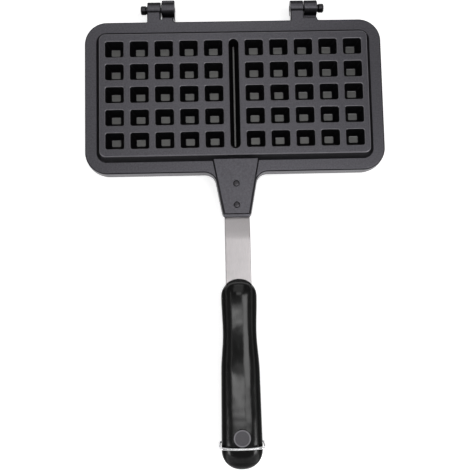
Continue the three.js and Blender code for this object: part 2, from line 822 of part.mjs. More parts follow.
function gripCap() {
  const flangeLowZ = bossTopZ + fitGap;
  const stemRadius = screwBoreRadius - fitGap;
  return turned([
    [0, flangeLowZ - capStemLength],
    [stemRadius, flangeLowZ - capStemLength],
    [stemRadius, flangeLowZ],
    [bossRadius, flangeLowZ],
    [bossRadius, capTopZ - capEdgeRound],
    [bossRadius - capEdgeRound, capTopZ],
    [0, capTopZ],
  ], roundSides, 0, bossY);
}

function gripScrew() {
  const headLowZ = screwSeatZ + fitGap;
  const tipZ = strapLevelBottomZ - screwShankReach;
  return turned([
    [0, tipZ],
    [screwShankRadius / 2, tipZ],
    [screwShankRadius, tipZ + screwShankRadius],
    [screwShankRadius, headLowZ],
    [screwHeadRadius, headLowZ],
    [screwHeadRadius, headLowZ + screwHeadThickness / 2],
    [screwHeadRadius * Math.SQRT1_2, headLowZ + screwHeadThickness],
    [0, headLowZ + screwHeadThickness],
  ], smallRoundSides, 0, bossY);
}

// Hinge pin through the right pair of knuckles, held by its head outside the outer one
function hingePin() {
  const tipX = knuckleInnerX - pinStickOut;
  const collarX = hingeTabOuterX + fitGap;
  const headX = collarX + pinCollarLength;
  const headEndX = headX + pinHeadLength;
  const profile = [
    [0, tipX],
    [pinRadius, tipX],
    [pinRadius, collarX],
    [pinCollarRadius, collarX],
    [pinCollarRadius, headX],
    [pinHeadRadius - pinHeadChamfer, headX],
    [pinHeadRadius, headX + pinHeadChamfer],
    [pinHeadRadius, headEndX - pinHeadChamfer],
    [pinHeadRadius - pinHeadChamfer, headEndX],
    [0, headEndX],
  ];
  const points = profile.map(([radius, x]) => new THREE.Vector2(radius, x));
  return new THREE.LatheGeometry(points, smallRoundSides).rotateZ(-Math.PI / 2).translate(0, hingeY, 0);
}

// Bail

// Centre line of the wire in the plane of the loop, as X across and Y up from the bail's axis
function bailCentreLine() {
  const height = bailBarTopZ + bailAxisDepth;
  const shoulderUp = height - bailArchDrop - bailShoulderDrop;
  const arch = [];
  for (let step = 0; step <= archSteps; step += 1) {
    const share = 1 - 2 * step / archSteps;
    arch.push({ x: bailArchHalfSpan * share, y: height - bailArchDrop * share * share });
  }
  const elbow = { radius: bailElbowRadius, steps: bendSteps };
  const right = roundCorners([
    { x: bailPinEndX, y: 0 },
    { x: bailLegX, y: 0, ...elbow },
    { x: bailLegX, y: shoulderUp, radius: 2 * bailElbowRadius, steps: bendSteps },
    arch[0],
  ]);
  const left = right.slice(0, -1).reverse().map((point) => new THREE.Vector2(-point.x, point.y));
  return [...right.slice(0, -1), ...arch.map(({ x, y }) => new THREE.Vector2(x, y)), ...left];
}

function bail() {
  const line = bailCentreLine();
  const rings = line.map((point, index) => {
    const before = line[Math.max(index - 1, 0)];
    const after = line[Math.min(index + 1, line.length - 1)];
    const ahead = after.clone().sub(before).normalize();
    const ring = [];
    for (let side = 0; side < wireSides; side += 1) {
      const angle = 2 * Math.PI * side / wireSides;
      const across = wireRadius * Math.cos(angle);
      const outOfPlane = wireRadius * Math.sin(angle);
      ring.push(new THREE.Vector3(point.x - ahead.y * across, -outOfPlane, point.y + ahead.x * across));
    }
    return ring;
  });
  // The two ends lie across X, so they close in the Y-Z plane
  return loft(rings, seenFromSide).translate(0, bailAxisY, -bailAxisDepth);
}

// Materials

function finish(color, roughness, metalness) {
  return new THREE.MeshStandardMaterial({ color, roughness, metalness });
}

const coatedAluminium = () => finish(0x4a494e, 0.55, 0.3);
const brushedSteel = () => finish(0xc2bebf, 0.35, 0.9);
const blackPlastic = () => finish(0x121112, 0.15, 0);
const mattePlastic = () => finish(0x565459, 0.7, 0);
const darkSteel = () => finish(0x3a393d, 0.45, 0.6);
const chromeWire = () => finish(0xd8d8da, 0.15, 1);

// Assembly

function piece(name, geometry, material) {
  const mesh = new THREE.Mesh(toCreasedNormals(geometry, creaseAngle), material);
  mesh.name = name;
  return mesh;
}

function half(prefix, isLower) {
  const group = new THREE.Group();
  group.add(piece(`${prefix}_plate`, plateCasting(isLower), coatedAluminium()));
  group.add(piece(`${prefix}_strap`, strap(), brushedSteel()));
  group.add(piece(`${prefix}_strap_rivet_front`, rivet(rivetFrontY), darkSteel()));
  group.add(piece(`${prefix}_strap_rivet_rear`, rivet(rivetRearY), darkSteel()));
  group.add(piece(`${prefix}_grip`, grip(isLower), blackPlastic()));
  group.add(piece(`${prefix}_grip_screw`, gripScrew(), darkSteel()));
  group.add(piece(`${prefix}_grip_cap`, gripCap(), mattePlastic()));
  return group;
}

function waffleIron() {
  const upperHalf = half('upper', false);
  upperHalf.add(piece('hinge_pin_right', hingePin(), darkSteel()));
  const lowerHalf = half('lower', true);
  lowerHalf.add(piece('hinge_pin_left', hingePin(), darkSteel()));
  lowerHalf.rotation.y = Math.PI;
  const iron = new THREE.Group();
  iron.add(upperHalf, lowerHalf, piece('latch_bail', bail(), chromeWire()));
  const rearY = hingeY + knuckleRadius + heelLength;
  iron.position.set(0, -(rearY + gripEndY) / 2, capTopZ);
  return iron;
}

export default waffleIron();
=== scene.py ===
import json
import math

import bmesh
import bpy
from mathutils import Euler, Matrix, Vector


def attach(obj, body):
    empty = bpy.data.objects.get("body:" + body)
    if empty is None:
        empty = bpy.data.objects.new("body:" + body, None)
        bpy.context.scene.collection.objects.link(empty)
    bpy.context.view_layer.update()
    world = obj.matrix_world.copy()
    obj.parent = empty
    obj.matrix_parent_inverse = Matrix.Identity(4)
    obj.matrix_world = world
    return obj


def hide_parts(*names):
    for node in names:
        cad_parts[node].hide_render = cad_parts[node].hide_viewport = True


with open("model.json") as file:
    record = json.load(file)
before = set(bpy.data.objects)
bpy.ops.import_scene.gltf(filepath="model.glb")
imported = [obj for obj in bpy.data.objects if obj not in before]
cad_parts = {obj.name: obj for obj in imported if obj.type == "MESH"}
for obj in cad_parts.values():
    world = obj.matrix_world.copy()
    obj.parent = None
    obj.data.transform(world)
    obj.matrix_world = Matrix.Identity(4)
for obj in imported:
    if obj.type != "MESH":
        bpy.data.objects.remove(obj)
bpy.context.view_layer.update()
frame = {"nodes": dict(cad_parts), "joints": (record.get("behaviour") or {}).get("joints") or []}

# All sizes are millimetres, but for the floor's and the lamps' near the end. Each half is shaped lying
# on the parting plane, Z = 0, with the centre of its plate at X = Y = 0 and its outer face up, and
# put_in_row() takes it to the frame.
MM = 0.001
OVERRUN = 1
FIT_GAP = 0.3

# Grid of pegs and pockets
COLUMN_PITCH = 19.2
ROW_PITCH = 18.08
COLUMNS = 5
ROWS = 5
FIRST_COLUMN_X = 15.83
POCKET_MOUTH_HALF = Vector((7.3, 6.4))
POCKET_FLOOR_HALF = Vector((4.0, 3.1))
POCKET_DEPTH = 9.05
POCKET_CORNER = 1.5
POCKET_MOUTH_ROUND = 0.45
POCKET_FLOOR_ROUND = 0.9
PEG_WALL = 1.8
PEG_TIP_THICKNESS = 2.5
PEG_TIP_ROUND = 0.7
PEG_ROOT_COVE = 0.8

# Groove between the fields
GROOVE_MOUTH_HALF = 4
GROOVE_FLOOR_HALF = 1
GROOVE_PAST_POCKETS = 0.9
GROOVE_FLOOR_ROUND = 0.6

# Plate
FLANGE_THICKNESS = 7.4
PANEL_RISE = 6.2
PANEL_WEB = 2.5
PANEL_WALL = 2.6
PANEL_MARGIN_X = 4.2
PANEL_MARGIN_Y = 5.6
PANEL_DRAFT = 3.4
PANEL_EDGE_ROUND = 0.5
PANEL_FOOT_COVE = 0.4
PANEL_CORNER = 4.4
FLANGE_WIDTH = 9.6
FLANGE_SIDE_WIDTH = 9.95
FLANGE_DRAFT = 0.6
FLANGE_EDGE_ROUND = 1.2
FLANGE_RIM_ROUND = 0.3
FLANGE_CORNER = 18
BATTER_CEILING_COVE = 1.2
BATTER_MOUTH_ROUND = 0.4
OVERFLOW_WIDTH = 3.2
OVERFLOW_DEPTH = 1.5
OVERFLOW_FROM_EDGE = 4.6

# Tang
TANG_LENGTH = 34.1
TANG_ROOT_HALF = 17.4
TANG_END_HALF = 11.1
TANG_ROOT_FILLET = 9
TANG_END_CORNER = 3
PAD_RISE = 1.8
PAD_INSET = 1.1
PAD_DRAFT = 0.85
PAD_SETBACK = 1.1
PAD_EDGE_ROUND = 0.4
TANG_SKIN = 3.1
LIP_LENGTH = 0.7
LIP_HALF = 9.8
LIP_STEP = 0.9
LIP_FALL = 0.7
LIP_ROUND = 0.5
CHANNEL_START = 4.6

# Hinge
HINGE_REACH = 12.1
KNUCKLE_RADIUS = 6.05
KNUCKLE_LENGTH = 10.3
KNUCKLE_GAP = 0.8
KNUCKLE_INNER_X = 46.3
KNUCKLE_WEB = 3.5
KNUCKLE_EDGE_ROUND = 0.35
TAB_REACH = 3.8
TAB_OUTER_REACH = 2.3
TAB_FILLET = 1
TAB_CORNER = 1.2
TAB_LEAST_CORNER = 0.3
LUG_REACH = 7.5
LUG_ROUND = 0.8
HEEL_LENGTH = 1.55
HEEL_HALF_HEIGHT = 2
PIN_RADIUS = 2
PIN_STICK_OUT = 0.4
PIN_COLLAR_RADIUS = 3
PIN_COLLAR_LENGTH = 0.8
PIN_HEAD_RADIUS = 3.45
PIN_HEAD_LENGTH = 4.6
PIN_HEAD_ROUND = 1.1

# Strap
STRAP_WIDTH = 19.6
STRAP_THICKNESS = 2.3
STRAP_BELOW_CROWN = 5.1
STRAP_RAMP_START = 1.5
STRAP_RAMP_LENGTH = 13.9
STRAP_LOWER_BEND = 6
STRAP_UPPER_BEND = 22
STRAP_FREE_LENGTH = 48.1
STRAP_PAST_SCREW = 9.5
STRAP_EDGE_ROUND = 0.8

# Rivets
RIVET_FROM_TANG_END = 8.8
RIVET_SPACING = 16.6
RIVET_HEAD_RADIUS = 2.45
RIVET_HEAD_THICKNESS = 0.7
RIVET_RECESS = 0.6
RIVET_SHANK_RADIUS = 1.6
RIVET_TAIL_RADIUS = 2.6
RIVET_TAIL_THICKNESS = 1.2

# Grip
GRIP_LENGTH = 143.5
GRIP_HEIGHT = 15.5
GRIP_SIDE_HEIGHT = 5.5
GRIP_NOSE_HALF = 13.7
GRIP_WAIST_HALF = 12.95
GRIP_PALM_HALF = 14.8
GRIP_HEEL_HALF = 15.6
GRIP_WAIST_DROP = 1.4
GRIP_NOSE_DROP = 0.4
GRIP_WAIST_FROM_NOSE = 40
GRIP_PALM_FROM_NOSE = 72
GRIP_END_ROUND = 16
GRIP_CROWN_FALL = 22.4
GRIP_LIP_WIDTH = 1.7
GRIP_LIP_HEIGHT = 11.9
GRIP_NOSE_SIDE_HEIGHT = 10.3
GRIP_LIP_ROUND = 0.5
GRIP_NOSE_SECTION = 10.6
GRIP_CROWN_POWER = 0.92
GRIP_NOSE_POWER = 0.7
GRIP_RIM_ROUND = 0.4

# Boss, cap and bail
BOSS_FROM_END = 26.5
BOSS_RADIUS = 6.3
BOSS_RISE = 0.5
BOSS_EDGE_ROUND = 0.3
CAP_THICKNESS = 1
CAP_EDGE_ROUND = 0.4
CAP_STEM = 0.9
CAP_RIM_WIDTH = 0.9
CAP_DISH_DEPTH = 0.25
SCREW_BORE_RADIUS = 4.5
SCREW_SEAT_WALL = 1.8
SCREW_SHANK_RADIUS = 2
SCREW_SHANK_REACH = 5
WIRE_RADIUS = 0.9
BAIL_FROM_END = 18.8
BAIL_AXIS_DEPTH = 5.5
BAIL_CROWN_GAP = 0.35
BAIL_SIDE_GAP = 0.6
BAIL_ARCH_DROP = 2.9
BAIL_ARCH_INSET = 0.2
BAIL_SHOULDER_DROP = 1.7
BAIL_ELBOW = 1.6
BAIL_SHOULDER = 3.2
BAIL_PIN_LENGTH = 4

# Places worked out from the sizes
FIELD_HALF_X = FIRST_COLUMN_X + (COLUMNS - 1) * COLUMN_PITCH + POCKET_MOUTH_HALF.x
FIELD_HALF_Y = (ROWS - 1) / 2 * ROW_PITCH + POCKET_MOUTH_HALF.y
PARTING_Z = FIT_GAP / 2
FLANGE_TOP_Z = PARTING_Z + FLANGE_THICKNESS
PANEL_TOP_Z = FLANGE_TOP_Z + PANEL_RISE
WEB_Z = PANEL_TOP_Z - PANEL_WEB
POCKET_FLOOR_Z = PANEL_TOP_Z - POCKET_DEPTH
PEG_TIP_Z = POCKET_FLOOR_Z - PEG_TIP_THICKNESS
PANEL_HALF_X = FIELD_HALF_X + PANEL_MARGIN_X
PANEL_HALF_Y = FIELD_HALF_Y + PANEL_MARGIN_Y
FLANGE_HALF_X = PANEL_HALF_X + PANEL_DRAFT + FLANGE_SIDE_WIDTH
FLANGE_HALF_Y = PANEL_HALF_Y + PANEL_DRAFT + FLANGE_WIDTH
TANG_END_Y = -(FLANGE_HALF_Y + TANG_LENGTH)
PAD_TOP_Z = FLANGE_TOP_Z + PAD_RISE
STRAP_TOP_Z = PAD_TOP_Z - TANG_SKIN - FIT_GAP
STRAP_BOTTOM_Z = STRAP_TOP_Z - STRAP_THICKNESS
LEVEL_TOP_Z = PARTING_Z + GRIP_HEIGHT - STRAP_BELOW_CROWN
LEVEL_BOTTOM_Z = LEVEL_TOP_Z - STRAP_THICKNESS
CHANNEL_HALF = STRAP_WIDTH / 2 + FIT_GAP
CHANNEL_END_Y = -(PANEL_HALF_Y + PANEL_DRAFT + CHANNEL_START)
RIVET_FRONT_Y = TANG_END_Y + RIVET_FROM_TANG_END
RIVET_REAR_Y = RIVET_FRONT_Y + RIVET_SPACING
RIVET_RECESS_Z = PAD_TOP_Z - RIVET_RECESS
HINGE_Y = FLANGE_HALF_Y + HINGE_REACH
KNUCKLE_INNER_END_X = KNUCKLE_INNER_X + KNUCKLE_LENGTH
KNUCKLE_OUTER_X = KNUCKLE_INNER_END_X + KNUCKLE_GAP
TAB_OUTER_X = KNUCKLE_OUTER_X + KNUCKLE_LENGTH
GRIP_NOSE_Y = TANG_END_Y - STRAP_FREE_LENGTH
GRIP_END_Y = GRIP_NOSE_Y - GRIP_LENGTH
NOSE_CENTRE_Y = GRIP_NOSE_Y - GRIP_NOSE_HALF
GRIP_WAIST_Y = GRIP_NOSE_Y - GRIP_WAIST_FROM_NOSE
GRIP_PALM_Y = GRIP_NOSE_Y - GRIP_PALM_FROM_NOSE
END_CENTRE_Y = GRIP_END_Y + GRIP_END_ROUND
BOSS_Y = GRIP_END_Y + BOSS_FROM_END
STRAP_END_Y = BOSS_Y - STRAP_PAST_SCREW
BOSS_TOP_Z = PARTING_Z + GRIP_HEIGHT + BOSS_RISE
CAP_TOP_Z = BOSS_TOP_Z + FIT_GAP + CAP_THICKNESS
SCREW_SEAT_Z = LEVEL_TOP_Z + FIT_GAP + SCREW_SEAT_WALL
BAIL_AXIS_Y = GRIP_END_Y + BAIL_FROM_END
BAR_Z = PARTING_Z + GRIP_HEIGHT + BAIL_CROWN_GAP + WIRE_RADIUS
BAIL_LEG_X = GRIP_HEEL_HALF + BAIL_SIDE_GAP + WIRE_RADIUS
BAIL_PIN_END_X = BAIL_LEG_X - WIRE_RADIUS - BAIL_PIN_LENGTH
BAIL_ARCH_HALF = GRIP_HEEL_HALF - BAIL_ARCH_INSET

# Fineness of the curved surfaces
ROUND_STEPS = 4
FLANGE_STEPS = 18
FILLET_STEPS = 10
CORNER_STEPS = 5
TURN_SIDES = 64
WIRE_SIDES = 16
BEND_STEPS = 10
CROWN_STEPS = 40
NOSE_STEPS = 12
LIP_STEPS = 36
BODY_STEPS = 44
END_STEPS = 14
ARCH_STEPS = 24
DOME_TIP_SHARE = 0.1
DOME_STEPS = 8
RIVET_RIM_SHARE = 0.2
SHARP_ANGLE = math.radians(38)

joint_places = {joint["name"]: Vector(joint["pos_m"]) for joint in frame["joints"]}
IRON_ORIGIN = joint_places["lid_hinge"] - Vector((0, HINGE_Y * MM, 0))


# Camera
SENSOR_WIDTH = 36
NEAREST_SEEN = 10
FARTHEST_SEEN = 10000
IMAGE_WIDTH_PIXELS = 470
FOCAL_LENGTH_PIXELS = 606.49
CAMERA_PLACE = Vector((-9.93, -147.61, 472.25))
CAMERA_TILT = Euler((0.0813960, -0.0171278, -0.0206368), "ZYX")


def make_camera():
    data = bpy.data.cameras.new("camera")
    data.sensor_width = SENSOR_WIDTH
    data.lens = SENSOR_WIDTH * FOCAL_LENGTH_PIXELS / IMAGE_WIDTH_PIXELS
    data.clip_start = NEAREST_SEEN * MM
    data.clip_end = FARTHEST_SEEN * MM
    camera = bpy.data.objects.new("camera", data)
    bpy.context.scene.collection.objects.link(camera)
    camera.rotation_mode = "ZYX"
    camera.rotation_euler = CAMERA_TILT
    camera.location = IRON_ORIGIN + CAMERA_PLACE * MM
    bpy.context.scene.camera = camera


make_camera()


# Outlines

def round_corners(corners):
    """Closed outline through (x, y, radius, steps) corners, each rounded by an arc."""
    outline = []
    for index, (x, y, radius, steps) in enumerate(corners):
        point = Vector((x, y))
        if not radius:
            outline.append(point)
            continue
        before = Vector(corners[index - 1][:2])
        after = Vector(corners[(index + 1) % len(corners)][:2])
        back = (before - point).normalized()
        ahead = (after - point).normalized()
        half_angle = math.acos(max(-1, min(1, back.dot(ahead)))) / 2
        centre = point + (back + ahead).normalized() * radius / math.sin(half_angle)
        tangent = radius / math.tan(half_angle)
        start = point + back * tangent - centre
        end = point + ahead * tangent - centre
        turn = math.atan2(start.x * end.y - start.y * end.x, start.dot(end))
        for step in range(steps + 1):
            outline.append(centre + Matrix.Rotation(turn * step / steps, 2) @ start)
    return outline


def rounded_rectangle(half_x, half_y, radius, steps):
    corners = [(half_x, -half_y), (half_x, half_y), (-half_x, half_y), (-half_x, -half_y)]
    return round_corners([(x, y, radius, steps) for x, y in corners])


def edge_round(radius, steps=ROUND_STEPS):
    """(inset, rise) pairs of a quarter round, from upright at its foot to level at its top."""
    angles = [math.pi / 2 * step / steps for step in range(steps + 1)]
    return [(radius * (1 - math.cos(angle)), radius * math.sin(angle)) for angle in angles]


def cove(radius, steps=ROUND_STEPS):
    """(outset, rise) pairs of a quarter cove, from level at its foot to upright at its top."""
    angles = [math.pi / 2 * step / steps for step in range(steps + 1)]
    return [(radius * (1 - math.sin(angle)), radius * (1 - math.cos(angle))) for angle in angles]


# Solids

def loft(rings):
    """Closed mesh through rings of equal count, each counter-clockwise seen from the last one's side."""
    mesh = bmesh.new()
    rows = [[mesh.verts.new(point) for point in ring] for ring in rings]
    for low, high in zip(rows, rows[1:]):
        for index in range(len(low)):
            after = (index + 1) % len(low)
            mesh.faces.new((low[index], low[after], high[after], high[index]))
    mesh.faces.new(list(reversed(rows[0])))
    mesh.faces.new(rows[-1])
    return mesh


def stack(levels):
    """Closed mesh through (outline, height) levels, from the lowest up."""
    return loft([[Vector((point.x, point.y, z)) for point in outline] for outline, z in levels])


def turned(profile):
    """Mesh turned about Z from (radius, height) pairs, from the lowest up, with flat ends."""
    directions = []
    for side in range(TURN_SIDES):
        angle = 2 * math.pi * side / TURN_SIDES
        directions.append((math.cos(angle), math.sin(angle)))
    return loft([[Vector((radius * x, radius * y, z)) for x, y in directions] for radius, z in profile])


def barrel(radius, low, high, rounding):
    """(radius, height) pairs of a cylinder with rounded rims, from the lowest up."""
    foot = [(radius - inset, low + rounding - rise) for inset, rise in reversed(edge_round(rounding))]
    top = [(radius - inset, high - rounding + rise) for inset, rise in edge_round(rounding)]
    return foot + top


def upright(profile, y):
    """Turned mesh that stands on the handle's middle line at y."""
    mesh = turned(profile)
    mesh.transform(Matrix.Translation((0, y, 0)))
    return mesh


def rod(radius, low_z, high_z, y):
    return upright([(radius, low_z), (radius, high_z)], y)


def level_rod(profile, y, z):
    """Turned mesh laid along X, with its profile's heights as places along X."""
    mesh = turned(profile)
    mesh.transform(Matrix.Translation((0, y, z)) @ Matrix.Rotation(math.pi / 2, 4, "Y"))
    return mesh


def rounded_block(low, high, radius):
    """Box between two corners, with its edges along and round its top and bottom rounded."""
    half = (high - low) / 2
    centre = (high + low) / 2
    levels = []
    for inset, rise in edge_round(radius):
        ring = rounded_rectangle(half.x - inset, half.y - inset, radius, ROUND_STEPS)
        levels.insert(0, (ring, -half.z + radius - rise))
        levels.append((ring, half.z - radius + rise))
    mesh = stack(levels)
    mesh.transform(Matrix.Translation(centre))
    return mesh


def to_object(mesh, name):
    data = bpy.data.meshes.new(name)
    mesh.to_mesh(data)
    mesh.free()
    made = bpy.data.objects.new(name, data)
    bpy.context.scene.collection.objects.link(made)
    return made


def discard(made):
    data = made.data
    bpy.data.objects.remove(made)
    bpy.data.meshes.remove(data)


def shape(operation, body, *tools):
    """body joined with or cut by each tool in turn; every one is a bmesh and is used up."""
    base = to_object(body, "shaping_base")
    for tool in tools:
        other = to_object(tool, "shaping_tool")
        modifier = base.modifiers.new("shaping", "BOOLEAN")
        modifier.operation = operation
        modifier.solver = "MANIFOLD"
        modifier.object = other
        depsgraph = bpy.context.evaluated_depsgraph_get()
        result = bpy.data.meshes.new_from_object(base.evaluated_get(depsgraph))
        base.modifiers.clear()
        old = base.data
        base.data = result
        bpy.data.meshes.remove(old)
        discard(other)
    mesh = bmesh.new()
    mesh.from_mesh(base.data)
    discard(base)
    return mesh


def join(body, *tools):
    return shape("UNION", body, *tools)


def cut(body, *tools):
    return shape("DIFFERENCE", body, *tools)


def over_peg_grid(make):
    """One mesh holding a copy of make() at every place of the two fields."""
    whole = bmesh.new()
    pattern = bpy.data.meshes.new("pattern")
    made = make()
    made.to_mesh(pattern)
    made.free()
    for x, y in peg_places():
        start = len(whole.verts)
        whole.from_mesh(pattern)
        whole.verts.ensure_lookup_table()
        bmesh.ops.translate(whole, vec=(x, y, 0), verts=whole.verts[start:])
    bpy.data.meshes.remove(pattern)
    return whole


def peg_places():
    return [
        (side * (FIRST_COLUMN_X + column * COLUMN_PITCH), (row - (ROWS - 1) / 2) * ROW_PITCH)
        for side in (-1, 1)
        for column in range(COLUMNS)
        for row in range(ROWS)
    ]


# Plate castings

def plate_outline(inset):
    """Flange, tang and hinge tabs in one outline, drawn in by inset."""
    half_x = FLANGE_HALF_X - inset
    half_y = FLANGE_HALF_Y - inset
    root = TANG_ROOT_HALF - inset
    end = TANG_END_HALF - inset
    end_y = TANG_END_Y + inset
    tab_y = FLANGE_HALF_Y + TAB_REACH - inset
    tab_outer_y = FLANGE_HALF_Y + TAB_OUTER_REACH - inset
    tab_outer = TAB_OUTER_X - inset
    tab_step = KNUCKLE_INNER_END_X - inset
    tab_inner = KNUCKLE_INNER_X + inset
    end_corner = (TANG_END_CORNER - inset, CORNER_STEPS)
    root_corner = (TANG_ROOT_FILLET + inset, FILLET_STEPS)
    flange_corner = (FLANGE_CORNER - inset, FLANGE_STEPS)
    tab_root = (TAB_FILLET + inset, CORNER_STEPS)
    tab_corner = (max(TAB_CORNER - inset, TAB_LEAST_CORNER), CORNER_STEPS)
    return round_corners([
        (-end, end_y, *end_corner),
        (end, end_y, *end_corner),
        (root, -half_y, *root_corner),
        (half_x, -half_y, *flange_corner),
        (half_x, half_y, *flange_corner),
        (tab_outer, half_y, *tab_root),
        (tab_outer, tab_outer_y, *tab_corner),
        (tab_step, tab_outer_y, 0, 0),
        (tab_step, tab_y, 0, 0),
        (tab_inner, tab_y, *tab_corner),
        (tab_inner, half_y, *tab_root),
        (-tab_inner, half_y, *tab_root),
        (-tab_inner, tab_y, *tab_corner),
        (-tab_step, tab_y, 0, 0),
        (-tab_step, tab_outer_y, 0, 0),
        (-tab_outer, tab_outer_y, *tab_corner),
        (-tab_outer, half_y, *tab_root),
        (-half_x, half_y, *flange_corner),
        (-half_x, -half_y, *flange_corner),
        (-root, -half_y, *root_corner),
    ])


def flange_body():
    levels = []
    for inset, rise in reversed(edge_round(FLANGE_RIM_ROUND)):
        levels.append((plate_outline(inset), PARTING_Z + FLANGE_RIM_ROUND - rise))
    for inset, rise in edge_round(FLANGE_EDGE_ROUND):
        outline = plate_outline(FLANGE_DRAFT + inset)
        levels.append((outline, FLANGE_TOP_Z - FLANGE_EDGE_ROUND + rise))
    return stack(levels)


def panel_outline(grow):
    radius = PANEL_CORNER + grow
    return rounded_rectangle(PANEL_HALF_X + grow, PANEL_HALF_Y + grow, radius, FLANGE_STEPS)


def panel_draft_at(z):
    return PANEL_DRAFT * (PANEL_TOP_Z - z) / PANEL_RISE


def panel_body():
    levels = [(panel_outline(PANEL_DRAFT + PANEL_FOOT_COVE), FLANGE_TOP_Z - OVERRUN)]
    for outset, rise in cove(PANEL_FOOT_COVE):
        z = FLANGE_TOP_Z + rise
        levels.append((panel_outline(panel_draft_at(z) + outset), z))
    for inset, rise in edge_round(PANEL_EDGE_ROUND):
        z = PANEL_TOP_Z - PANEL_EDGE_ROUND + rise
        levels.append((panel_outline(panel_draft_at(z) - inset), z))
    return stack(levels)


def batter_space():
    """Cutter of the hollow that the pegs hang into."""
    mouth = PANEL_DRAFT - PANEL_WALL + FLANGE_DRAFT
    levels = [(panel_outline(mouth + BATTER_MOUTH_ROUND), PARTING_Z - OVERRUN)]
    for inset, rise in cove(BATTER_MOUTH_ROUND):
        levels.append((panel_outline(mouth + inset), PARTING_Z + rise))
    levels.append((panel_outline(PANEL_DRAFT - PANEL_WALL), FLANGE_TOP_Z))
    for inset, rise in edge_round(BATTER_CEILING_COVE):
        z = WEB_Z - BATTER_CEILING_COVE + rise
        levels.append((panel_outline(panel_draft_at(z) - PANEL_WALL - inset), z))
    return stack(levels)


def taper(floor_half, mouth_half, z):
    return floor_half + (mouth_half - floor_half) * (z - POCKET_FLOOR_Z) / POCKET_DEPTH


def peg_outline(z, wall):
    half = taper(POCKET_FLOOR_HALF, POCKET_MOUTH_HALF, z)
    return rounded_rectangle(half.x + wall, half.y + wall, POCKET_CORNER + wall, CORNER_STEPS)


def groove_outline(z, wall):
    half_x = taper(GROOVE_FLOOR_HALF, GROOVE_MOUTH_HALF, z) + wall
    half_y = FIELD_HALF_Y + GROOVE_PAST_POCKETS - GROOVE_MOUTH_HALF + half_x
    return rounded_rectangle(half_x, half_y, half_x, FILLET_STEPS)


def hollow(outline, floor_round):
    """Cutter of a pocket or the groove, with a rounded floor and a rounded mouth."""
    levels = []
    for inset, rise in cove(floor_round):
        z = POCKET_FLOOR_Z + rise
        levels.append((outline(z, -inset), z))
    for outset, rise in edge_round(POCKET_MOUTH_ROUND):
        z = PANEL_TOP_Z - POCKET_MOUTH_ROUND + rise
        levels.append((outline(z, outset), z))
    levels.append((outline(PANEL_TOP_Z, POCKET_MOUTH_ROUND), PANEL_TOP_Z + OVERRUN))
    return stack(levels)


def peg(outline):
    """Peg or divider that hangs from the panel's web, with a rounded tip and a cove at its root."""
    levels = []
    for inset, rise in cove(PEG_TIP_ROUND):
        z = PEG_TIP_Z + rise
        levels.append((outline(z, PEG_WALL - inset), z))
    for outset, rise in edge_round(PEG_ROOT_COVE):
        z = WEB_Z - PEG_ROOT_COVE + rise
        levels.append((outline(z, PEG_WALL + outset), z))
    levels.append((outline(WEB_Z, PEG_WALL + PEG_ROOT_COVE), WEB_Z + PANEL_WEB / 2))
    return stack(levels)


def overflow_ring():
    """Cutter of the groove that runs round the inner face of the flange."""
    def outline(inset):
        half_x = FLANGE_HALF_X - inset
        half_y = FLANGE_HALF_Y - inset
        return rounded_rectangle(half_x, half_y, FLANGE_CORNER - inset, FLANGE_STEPS)

    low = PARTING_Z - OVERRUN
    high = PARTING_Z + OVERFLOW_DEPTH
    inner = OVERFLOW_FROM_EDGE + OVERFLOW_WIDTH
    outer_body = stack([(outline(OVERFLOW_FROM_EDGE), low), (outline(OVERFLOW_FROM_EDGE), high)])
    island = stack([(outline(inner), low - OVERRUN), (outline(inner), high + OVERRUN)])
    return cut(outer_body, island)


def tang_pad():
    """Raised pad on the tang, which narrows towards the handle."""
    slope = (TANG_ROOT_HALF - TANG_END_HALF) / TANG_LENGTH
    rear_y = -PANEL_HALF_Y
    front_y = TANG_END_Y + PAD_SETBACK

    def outline(inset):
        rear = TANG_END_HALF + slope * (rear_y - TANG_END_Y) - PAD_INSET - inset
        front = TANG_END_HALF + slope * PAD_SETBACK - PAD_INSET - inset
        corner = (PAD_EDGE_ROUND, CORNER_STEPS)
        return round_corners([
            (-front, front_y + inset, *corner),
            (front, front_y + inset, *corner),
            (rear, rear_y, 0, 0),
            (-rear, rear_y, 0, 0),
        ])

    levels = [(outline(0), FLANGE_TOP_Z - OVERRUN), (outline(0), FLANGE_TOP_Z)]
    for inset, rise in edge_round(PAD_EDGE_ROUND):
        levels.append((outline(PAD_DRAFT + inset), PAD_TOP_Z - PAD_EDGE_ROUND + rise))
    return stack(levels)


def tang_lip():
    """Low lip before the pad at the tang's end, which slopes down to the strap."""
    rear_y = TANG_END_Y + PAD_SETBACK + PAD_DRAFT + PAD_EDGE_ROUND
    front_y = TANG_END_Y - LIP_LENGTH
    low_z = STRAP_TOP_Z + FIT_GAP
    rear_z = PAD_TOP_Z - LIP_STEP
    section = round_corners([
        (front_y, low_z, 0, 0),
        (rear_y, low_z, 0, 0),
        (rear_y, rear_z, 0, 0),
        (front_y, rear_z - LIP_FALL, LIP_ROUND, CORNER_STEPS),
    ])
    return loft([[Vector((x, point.x, point.y)) for point in section] for x in (-LIP_HALF, LIP_HALF)])


def box_cut(low, high):
    corners = ((low.x, low.y), (high.x, low.y), (high.x, high.y), (low.x, high.y))
    outline = [Vector(corner) for corner in corners]
    return stack([(outline, low.z), (outline, high.z)])


def strap_channel():
    return box_cut(
        Vector((-CHANNEL_HALF, TANG_END_Y - LIP_LENGTH - OVERRUN, PARTING_Z - OVERRUN)),
        Vector((CHANNEL_HALF, CHANNEL_END_Y, STRAP_TOP_Z + FIT_GAP)),
    )


